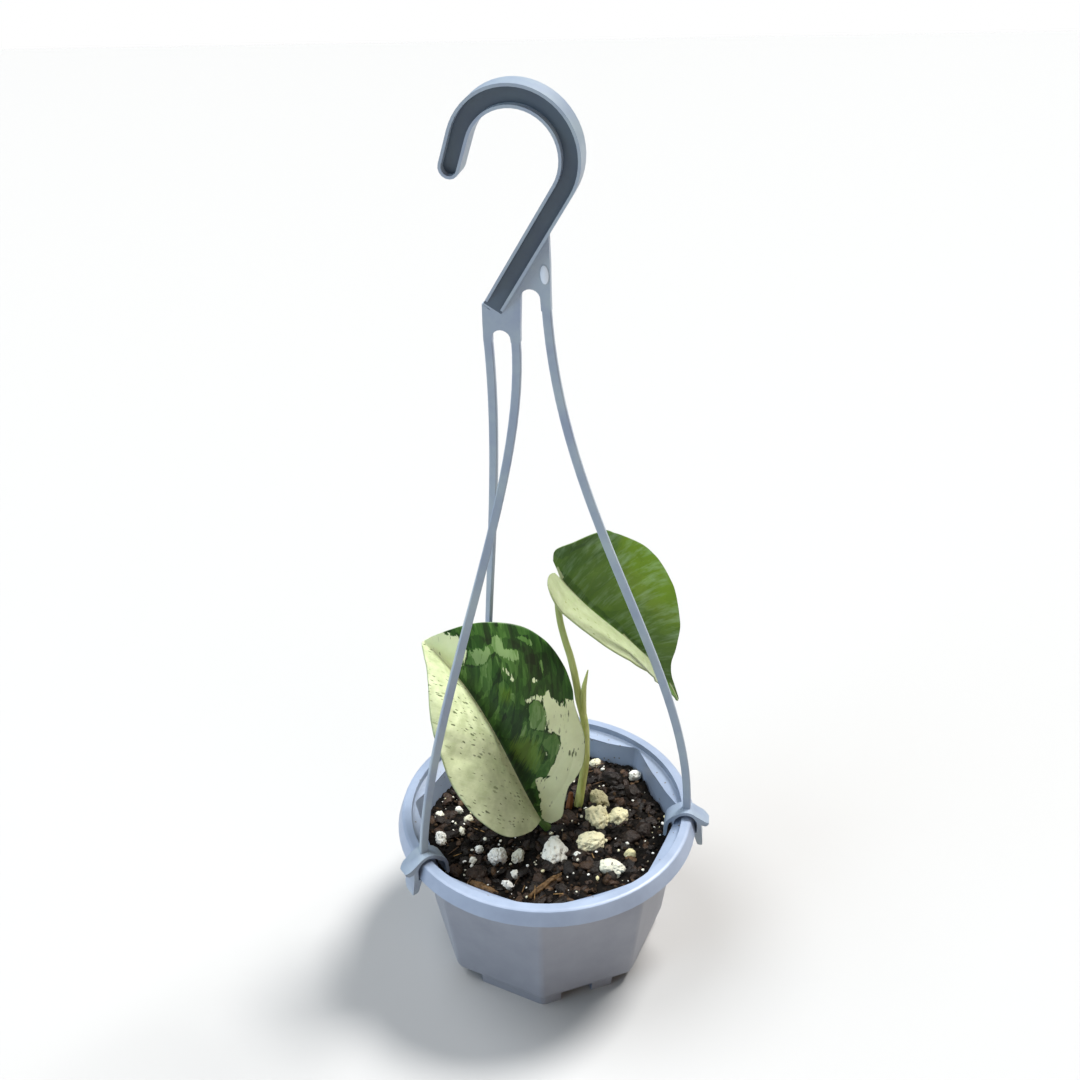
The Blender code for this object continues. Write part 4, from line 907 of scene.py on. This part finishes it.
def makeStalkSurface(name, look):
    material, tree, shader = newMaterial(name, {"Roughness": look["roughness"], "IOR": 1.42})
    coordinates = addNode(tree, "TexCoord").outputs["Object"]
    drawnOut = addNode(tree, "Mapping", {"Vector": coordinates, "Scale": (1.0, 1.0, 0.12)}).outputs["Vector"]
    fibres = addNoise(tree, drawnOut, 1000 / look["fibre"], 3.0)
    tone = addRamp(tree, fibres, ((0.3, look["low"]), (0.7, look["high"])))
    low, high = (height * mm for height in look["topBetween"])
    height = addNode(tree, "SeparateXYZ", {"Vector": coordinates}).outputs["Z"]
    rise = addNode(tree, "MapRange", {"Value": height, "From Min": low, "From Max": high}).outputs["Result"]
    addSkin(tree, shader, addMix(tree, rise, tone, look["top"]), fibres, 0.35, 0.1)
    return material


# Each stalk's lines, its ribs' height as a share of its radius, and its surface, which turns into the
# top's colour between two heights in mm
for name, lines, ribbing, slotName, node, surfaceName, look in (
    ("back_stalk", ("back", "spear"), 0.02, "stem", "stem_back", "waxy leaf stalk", {
        "roughness": 0.42, "fibre": 1.2, "low": "#aeb962", "high": "#d0d68c",
        "top": "#87945a", "topBetween": (92, 145),
    }),
    # Painted shade: the front stalk, under the front leaf, is coloured a darker green
    ("front_stalk", ("front",), 0.02, "stem", "stem_front", "stalk darkened by painted shade", {
        "roughness": 0.42, "fibre": 1.2, "low": "#3f5a2b", "high": "#5b7a3a",
        "top": "#4d6a30", "topBetween": (50, 58),
    }),
    ("dry_stub", ("stub",), 0.1, "dried_stem", "dried_stub", "dry brown stalk", {
        "roughness": 0.8, "fibre": 0.8, "low": "#4a2d19", "high": "#8a5a34",
        "top": "#6f4527", "topBetween": (50, 58),
    }),
):
    shape = bmesh.new()
    for line in lines:
        addStalk(shape, stalks[line], ribbing)
    bmesh.ops.recalc_face_normals(shape, faces=shape.faces)
    finishPiece(name, shape, [makeStalkSurface(surfaceName, look)], [node], 50.0)
print("stalks done")


# Potting mix: a crumbly top of peat and bark fines, with lumps, chips, pumice and fibres on it.
# Places are mm from the pot's axis.

soil = {
    # The part's own body and top
    "top": 51.0, "relief": 1.1, "grain": 9.0, "dome": 0.6, "domeRadius": 54.94,
    "bottom": 5.9, "turn": 41.6, "lowRadius": 46.5, "taper": 0.129, "cornerCut": 1.1,
    "netStep": 0.5, "netReach": 55.0,
    "crumble": 1.5, "roughSize": 3.2, "clodSize": 4.2,
    "stalksAt": ((14.3, 12.4), (0.0, -3.7), (9.9, 10.2)), "clearance": 3.4,
    # Each stone and chip that shows: x, y, length, width, height over the mix and turn in degrees
    "pumice": (
        (2.9, -17.6, 15.0, 10.2, 5.0, 84), (-43.2, -8.8, 7.0, 4.6, 3.0, 110), (-19.7, -20.5, 7.6, 7.0, 4.0, 0),
        (-11.6, -19.2, 7.4, 5.0, 2.6, 75), (-27.5, -15.0, 3.6, 3.2, 1.8, 0), (-29.5, -22.0, 3.8, 3.2, 1.8, 60),
        (17.7, -12.4, 12.0, 8.6, 4.4, 15), (21.4, 1.6, 11.8, 9.2, 4.6, 120), (29.8, 1.0, 9.6, 8.2, 4.4, 55),
        (22.3, 12.6, 10.4, 8.0, 4.6, 100), (11.8, -19.8, 4.2, 3.6, 2.0, 10), (25.2, -26.4, 11.0, 7.4, 3.6, 160),
        (33.0, -18.9, 4.6, 4.0, 2.4, 0), (39.0, 28.6, 5.8, 4.8, 2.6, 40), (21.9, 36.8, 6.2, 4.8, 2.8, 20),
        (-15.6, -34.4, 5.4, 3.6, 2.2, 150), (-12.8, -28.6, 3.8, 3.4, 2.0, 0), (-45.0, 4.6, 5.0, 4.2, 2.6, 70),
        (-37.0, 8.3, 3.6, 3.2, 2.0, 0), (-32.6, 2.1, 4.4, 3.8, 2.2, 30), (-34.9, -5.0, 3.6, 3.0, 1.8, 90),
        (-22.0, 24.0, 6.4, 5.2, 2.8, 45), (-8.0, 38.0, 7.2, 5.4, 3.0, 130), (4.0, 27.0, 5.0, 4.2, 2.4, 0),
    ),
    "bark": (
        (-24.6, -36.4, 15.0, 4.2, 2.4, -33), (-1.4, -35.4, 19.0, 2.4, 1.8, 44), (-27.6, -29.0, 8.6, 7.0, 3.0, 20),
        (39.3, -5.8, 8.0, 6.4, 3.4, 70), (33.6, -10.4, 8.4, 6.6, 3.0, 10), (37.0, 16.7, 9.0, 6.4, 3.6, 110),
        (28.8, 25.6, 9.6, 6.6, 3.4, 150), (-35.0, 18.0, 10.0, 5.6, 3.0, 60), (12.0, 40.0, 9.0, 5.0, 2.8, 15),
        (-30.0, 30.0, 9.0, 6.0, 3.0, 140), (-14.0, 12.0, 9.0, 5.0, 2.6, 25),
    ),
    "stoneShades": (
        0.1, 0.0, 0.0, 0.2, 0.0, 0.1, 0.55, 0.6, 0.6, 1.0, 0.05, 0.3, 0.75, 0.05, 0.45,
        0.0, 0.1, 0.2, 0.1, 0.4, 0.2, 0.3, 0.1, 0.5,
    ),
    # What is strewn: a pair is drawn between its two numbers, and "form" is the width and the height
    # as shares of the size, or of the unit where one is given
    "seed": 11,
    "specks": {
        "count": 260, "margin": 1.5, "size": (0.45, 1.0, 3, 2.4), "lift": (-0.1, 0.9), "form": (0.8, 0.7),
        "fineness": 1, "roughness": 0.4, "shade": (0.0, 1.0, 2, 0.7),
    },
    "bigLumps": {
        "count": 110, "margin": 5.0, "size": (5.0, 9.5), "lift": (-1.2, 0.3),
        "tilt": ((-0.45, 0.45), (-0.45, 0.45)), "form": ((0.45, 0.8), (0.25, 0.42)),
        "fineness": 3, "roughness": 0.4, "facets": 0.8, "shade": (0.0, 0.6),
    },
    "lumps": {
        "count": 420, "margin": 3.0, "size": (1.8, 5.2), "lift": (-0.6, 0.6),
        "tilt": ((-0.5, 0.5), (-0.5, 0.5)), "form": ((0.5, 0.9), (0.3, 0.6)),
        "fineness": 2, "roughness": 0.45, "facets": 0.6, "shade": (0.0, 0.75),
    },
    "fibres": {
        "count": 46, "margin": 3.0, "size": (3.0, 7.0), "lift": (0.3, 1.1), "tilt": (0.0, (-0.35, 0.35)),
        "form": (0.5, 0.4), "unit": 1.0, "fineness": 2, "roughness": 0.5, "shade": (0.6, 1.0),
    },
    "crumbs": {
        "count": 1100, "margin": 1.2, "size": (0.7, 2.2), "lift": (-0.2, 0.9), "form": (0.8, 0.7),
        "fineness": 1, "roughness": 0.5, "shade": (0.0, 1.0),
    },
}


def soilHeight(x, y):
    # The part's own surface, in mm from the pot's axis
    away = math.hypot(x, y) / soil["domeRadius"]
    grain = noise.fractal(Vector((x, y, 0.0)) / soil["grain"], 0.9, 2.1, 3)
    return soil["top"] + soil["relief"] * (grain + soil["dome"] * (1 - away * away))


def soilRadius(height):
    return soil["lowRadius"] + (height - soil["bottom"]) * soil["taper"]


def wallAngle(side):
    # The direction that one of the eight walls faces
    return math.radians(soil["turn"] + 22.5 + 45 * side)


def insideSoil(x, y, margin):
    # Whether a place lies inside the eight walls by a margin, in mm
    apothem = soilRadius(soil["top"]) * math.cos(math.pi / 8) - margin
    return all(x * math.cos(wallAngle(side)) + y * math.sin(wallAngle(side)) <= apothem for side in range(8))


def makeSoil(material):
    shape = bmesh.new()
    count = round(2 * soil["netReach"] / soil["netStep"])
    bmesh.ops.create_grid(shape, x_segments=count, y_segments=count, size=soil["netReach"])
    radius = soilRadius(soil["top"])
    for side in range(8):
        # A wall and the cut corner after it
        for turn, reach, share in ((0.0, radius, math.cos(math.pi / 8)), (22.5, radius - soil["cornerCut"], 1.0)):
            angle = wallAngle(side) + math.radians(turn)
            normal = Vector((math.cos(angle), math.sin(angle), 0.0))
            bmesh.ops.bisect_plane(
                shape, geom=shape.verts[:] + shape.edges[:] + shape.faces[:], dist=0.01,
                plane_co=normal * reach * share, plane_no=normal, clear_outer=True,
            )
    for vert in shape.verts:
        x, y = vert.co.x, vert.co.y
        rough = noise.fractal(Vector((x, y, 5.0)) / soil["roughSize"], 0.8, 2.2, 4)
        clods = noise.voronoi(Vector((x, y, 0.0)) / soil["clodSize"])[0][0]
        vert.co.z = soilHeight(x, y) + soil["crumble"] * (rough * 0.8 + 0.35 - clods * 1.1)
    border = [edge for edge in shape.edges if edge.is_boundary]
    lower = bmesh.ops.extrude_edge_only(shape, edges=border)["geom"]
    shrink = soilRadius(soil["bottom"]) / radius
    for item in lower:
        if isinstance(item, bmesh.types.BMVert):
            item.co = Vector((item.co.x * shrink, item.co.y * shrink, soil["bottom"]))
    bmesh.ops.holes_fill(shape, edges=[edge for edge in shape.edges if edge.is_boundary], sides=0)
    bmesh.ops.scale(shape, vec=(mm, mm, mm), verts=shape.verts)
    bmesh.ops.translate(shape, vec=potAxis, verts=shape.verts)
    bmesh.ops.recalc_face_normals(shape, faces=shape.faces)
    finishPiece("potting_mix", shape, [material], ["soil"], 60.0)


def newLumps():
    # Each lump of a piece takes its own shade through the attribute "shade"
    shape = bmesh.new()
    shape.verts.layers.float.new("shade")
    return shape


def addLump(shape, fineness, x, y, lift, size, turn, roughness, offset, shade, tilt=(0.0, 0.0), facets=0.0, pits=0.0):
    # A stone, chip or crumb on the mix: a ball pushed in and out by noise, in mm from the pot's axis
    ball = bmesh.ops.create_icosphere(shape, subdivisions=fineness, radius=1.0)["verts"]
    layer = shape.verts.layers.float["shade"]
    seed = Vector((offset * 1.7, offset * 0.6, -offset))
    for vert in ball:
        push = noise.noise(vert.co * 1.4 + seed) * 0.6 + noise.noise(vert.co * 3.5 + seed) * 0.4
        if facets:
            push += facets * (0.5 - noise.voronoi(vert.co * 1.3 + seed)[0][0])
        if pits:
            push -= pits * max(0.0, 0.42 - noise.voronoi(vert.co * 3.1 + seed)[0][0])
        vert.co *= 1 + roughness * push
        vert[layer] = shade
    turned = Matrix.Rotation(math.radians(turn), 4, "Z")
    if any(tilt):
        turned = turned @ Matrix.Rotation(tilt[0], 4, "X") @ Matrix.Rotation(tilt[1], 4, "Y")
    place = Vector((x, y, soilHeight(x, y) + lift))
    matrix = Matrix.Translation(place) @ turned @ Matrix.Diagonal((size[0] / 2, size[1] / 2, size[2] / 2, 1.0))
    bmesh.ops.transform(shape, matrix=Matrix.Translation(potAxis) @ Matrix.Scale(mm, 4) @ matrix, verts=ball)


def makeMixSurface(name, look):
    material, tree, shader = newMaterial(name, {
        "Roughness": look["roughness"], "IOR": 1.4, "Specular IOR Level": look["shine"],
    })
    coordinates = addNode(tree, "TexCoord").outputs["Object"]
    shade = addNode(tree, "Attribute", attribute_name="shade").outputs["Fac"]
    low, high = look["spotBetween"]
    mottle = addNoise(tree, coordinates, 1000 / look["mottle"], 5.0, 0.7)
    spread = addNode(tree, "MapRange", {"Value": mottle, "From Min": low, "From Max": high}).outputs["Result"]
    colour = addMix(tree, spread, addRamp(tree, shade, look["shades"]), look["spot"])
    addSkin(tree, shader, colour, addNoise(tree, coordinates, 1000 / look["pit"], 4.0, 0.7), 0.9, 0.5)
    return material


# Peat and bark fines: matt, nearly black, with red-brown bits
darkMix = makeMixSurface("damp peat and bark fines", {
    "roughness": 0.85, "shine": 0.2, "mottle": 2.6, "spot": "#2e231a", "spotBetween": (0.55, 0.75), "pit": 0.8,
    "shades": ((0.0, "#0c0907"), (0.45, "#17110c"), (0.75, "#281e15"), (1.0, "#443525")),
})
# Pumice and perlite: matt off-white to cream, pitted, with dirt in the pits
stone = makeMixSurface("pitted pumice", {
    "roughness": 0.8, "shine": 0.5, "mottle": 2.0, "spot": "#2f281d", "spotBetween": (0.6, 0.66), "pit": 0.6,
    "shades": ((0.0, "#f0f0ea"), (0.2, "#dcdbcc"), (0.45, "#d6d2b8"), (0.7, "#d9d1a2"), (1.0, "#a39d7c")),
})
# Bark: weathered, fibrous, from golden to nearly black
barkSkin = makeMixSurface("pine bark chips", {
    "roughness": 0.4, "shine": 0.4, "mottle": 1.6, "spot": "#120c09", "spotBetween": (0.45, 0.7), "pit": 0.6,
    "shades": ((0.0, "#100c0a"), (0.3, "#1d1510"), (0.6, "#3a281b"), (0.8, "#5d452c"), (1.0, "#9a7848")),
})


def scatter(count, draw, margin):
    # Random places on the mix, clear of the stalks
    places = []
    while len(places) < count:
        x = draw.uniform(-52, 52)
        y = draw.uniform(-52, 52)
        clear = all(math.hypot(x - a, y - b) > soil["clearance"] for a, b in soil["stalksAt"])
        if clear and insideSoil(x, y, margin):
            places.append((x, y))
    return places


def strew(shape, draw, grains):
    # Scatters lumps of one kind. The order of the draws is part of the look

    def drawn(span):
        # A fixed number, or one between the first two, raised to a power and scaled where those follow
        if isinstance(span, float):
            return span
        low, high, power, factor = (*span, 1, 1)[:4]
        return draw.uniform(low, high) ** power * factor

    for x, y in scatter(grains["count"], draw, grains["margin"]):
        size = drawn(grains["size"])
        unit = grains.get("unit", size)
        lift = drawn(grains["lift"])
        tilt = [drawn(span) for span in grains.get("tilt", ())]
        form = (size, *(unit * drawn(span) for span in grains["form"]))
        addLump(
            shape, grains["fineness"], x, y, lift, form, draw.uniform(0, 180), grains["roughness"],
            draw.random() * 50, drawn(grains["shade"]), tilt, grains.get("facets", 0.0),
        )


makeSoil(darkMix)

draw = random.Random(soil["seed"])
shape = newLumps()
for index, ((x, y, length, width, height, turn), shade) in enumerate(zip(soil["pumice"], soil["stoneShades"])):
    fineness = 5 if length > 6 else 4
    size = (length, width, 2 * height)
    addLump(shape, fineness, x, y, 0.0, size, turn, 0.3, index + 0.37, shade, facets=0.35, pits=1.4)
strew(shape, draw, soil["specks"])
finishPiece("pumice", shape, [stone], (), 50.0)

shape = newLumps()
for index, (x, y, length, width, height, turn) in enumerate(soil["bark"]):
    # The golden chip and the stick come first
    shade = 0.84 if index < 2 else draw.uniform(0.25, 0.65)
    addLump(shape, 4, x, y, 0.2, (length, width, 2 * height), turn, 0.3, index + 4.1, shade, facets=0.5)
for grains in ("bigLumps", "lumps", "fibres"):
    strew(shape, draw, soil[grains])
finishPiece("bark_chips", shape, [barkSkin], (), 35.0)

shape = newLumps()
strew(shape, draw, soil["crumbs"])
finishPiece("crumbs", shape, [darkMix], (), 50.0)
print("potting mix done")


# Floor, light and camera

studio = {
    "floor": "#b3b3b3", "floorSize": 30.0, "backdrop": "#ffffff", "sky": "#ffffff", "skyStrength": 0.1,
    # Large soft lights: where each comes from, its width in degrees, strength and colour
    "lights": {
        "key": ((-0.6, 0.15, 1.2), 38, 2.2, (0.93, 0.97, 1.0)),
        "back": ((0.56, 0.38, 1.2), 18, 4.9, (1.0, 0.98, 0.95)),
        "right": ((0.7, -0.9, 0.35), 40, 0.45, (1.0, 0.74, 0.52)),
        "left": ((-0.9, -0.45, 0.45), 35, 1.4, (0.68, 0.85, 1.0)),
    },
    "camera": {"place": (-2.43, -327.70, 347.01), "turn": (63.3403, 0.8860, -0.2908), "lens": 34.192},
}

shape = bmesh.new()
bmesh.ops.create_grid(shape, x_segments=1, y_segments=1, size=studio["floorSize"])
paper = newMaterial("white paper sweep", {
    "Base Color": linear(studio["floor"]), "Roughness": 0.9, "Specular IOR Level": 0.1,
})[0]
putInScene("floor", makeMesh("floor", shape, [paper]))

# A dim white room lights the object, and the backdrop behind it shows white
world = bpy.data.worlds.new("soft room")
world.use_nodes = True
bpy.context.scene.world = world
room = world.node_tree
ambient = room.nodes["Background"]
ambient.inputs["Color"].default_value = linear(studio["sky"])
ambient.inputs["Strength"].default_value = studio["skyStrength"]
backdrop = addNode(room, "Background", {"Color": studio["backdrop"]})
seen = addNode(room, "LightPath").outputs["Is Camera Ray"]
both = addNode(room, "MixShader", {0: seen, 1: ambient.outputs[0], 2: backdrop.outputs[0]})
room.links.new(both.outputs["Shader"], room.nodes["World Output"].inputs["Surface"])

for name, (place, width, strength, colour) in studio["lights"].items():
    lamp = bpy.data.lights.new(name, "SUN")
    lamp.energy = strength
    lamp.angle = math.radians(width)
    lamp.color = colour
    light = putInScene(name, lamp)
    light.rotation_euler = Vector(place).to_track_quat("Z", "Y").to_euler()

lens = bpy.data.cameras.new("camera")
lens.lens = studio["camera"]["lens"]
lens.sensor_width = 36.0
lens.clip_start = 0.01
camera = putInScene("camera", lens)
camera.location = Vector(studio["camera"]["place"]) * mm
camera.rotation_euler = [math.radians(angle) for angle in studio["camera"]["turn"]]
bpy.context.scene.camera = camera
bpy.context.scene.view_settings.view_transform = "Standard"
print("studio done")
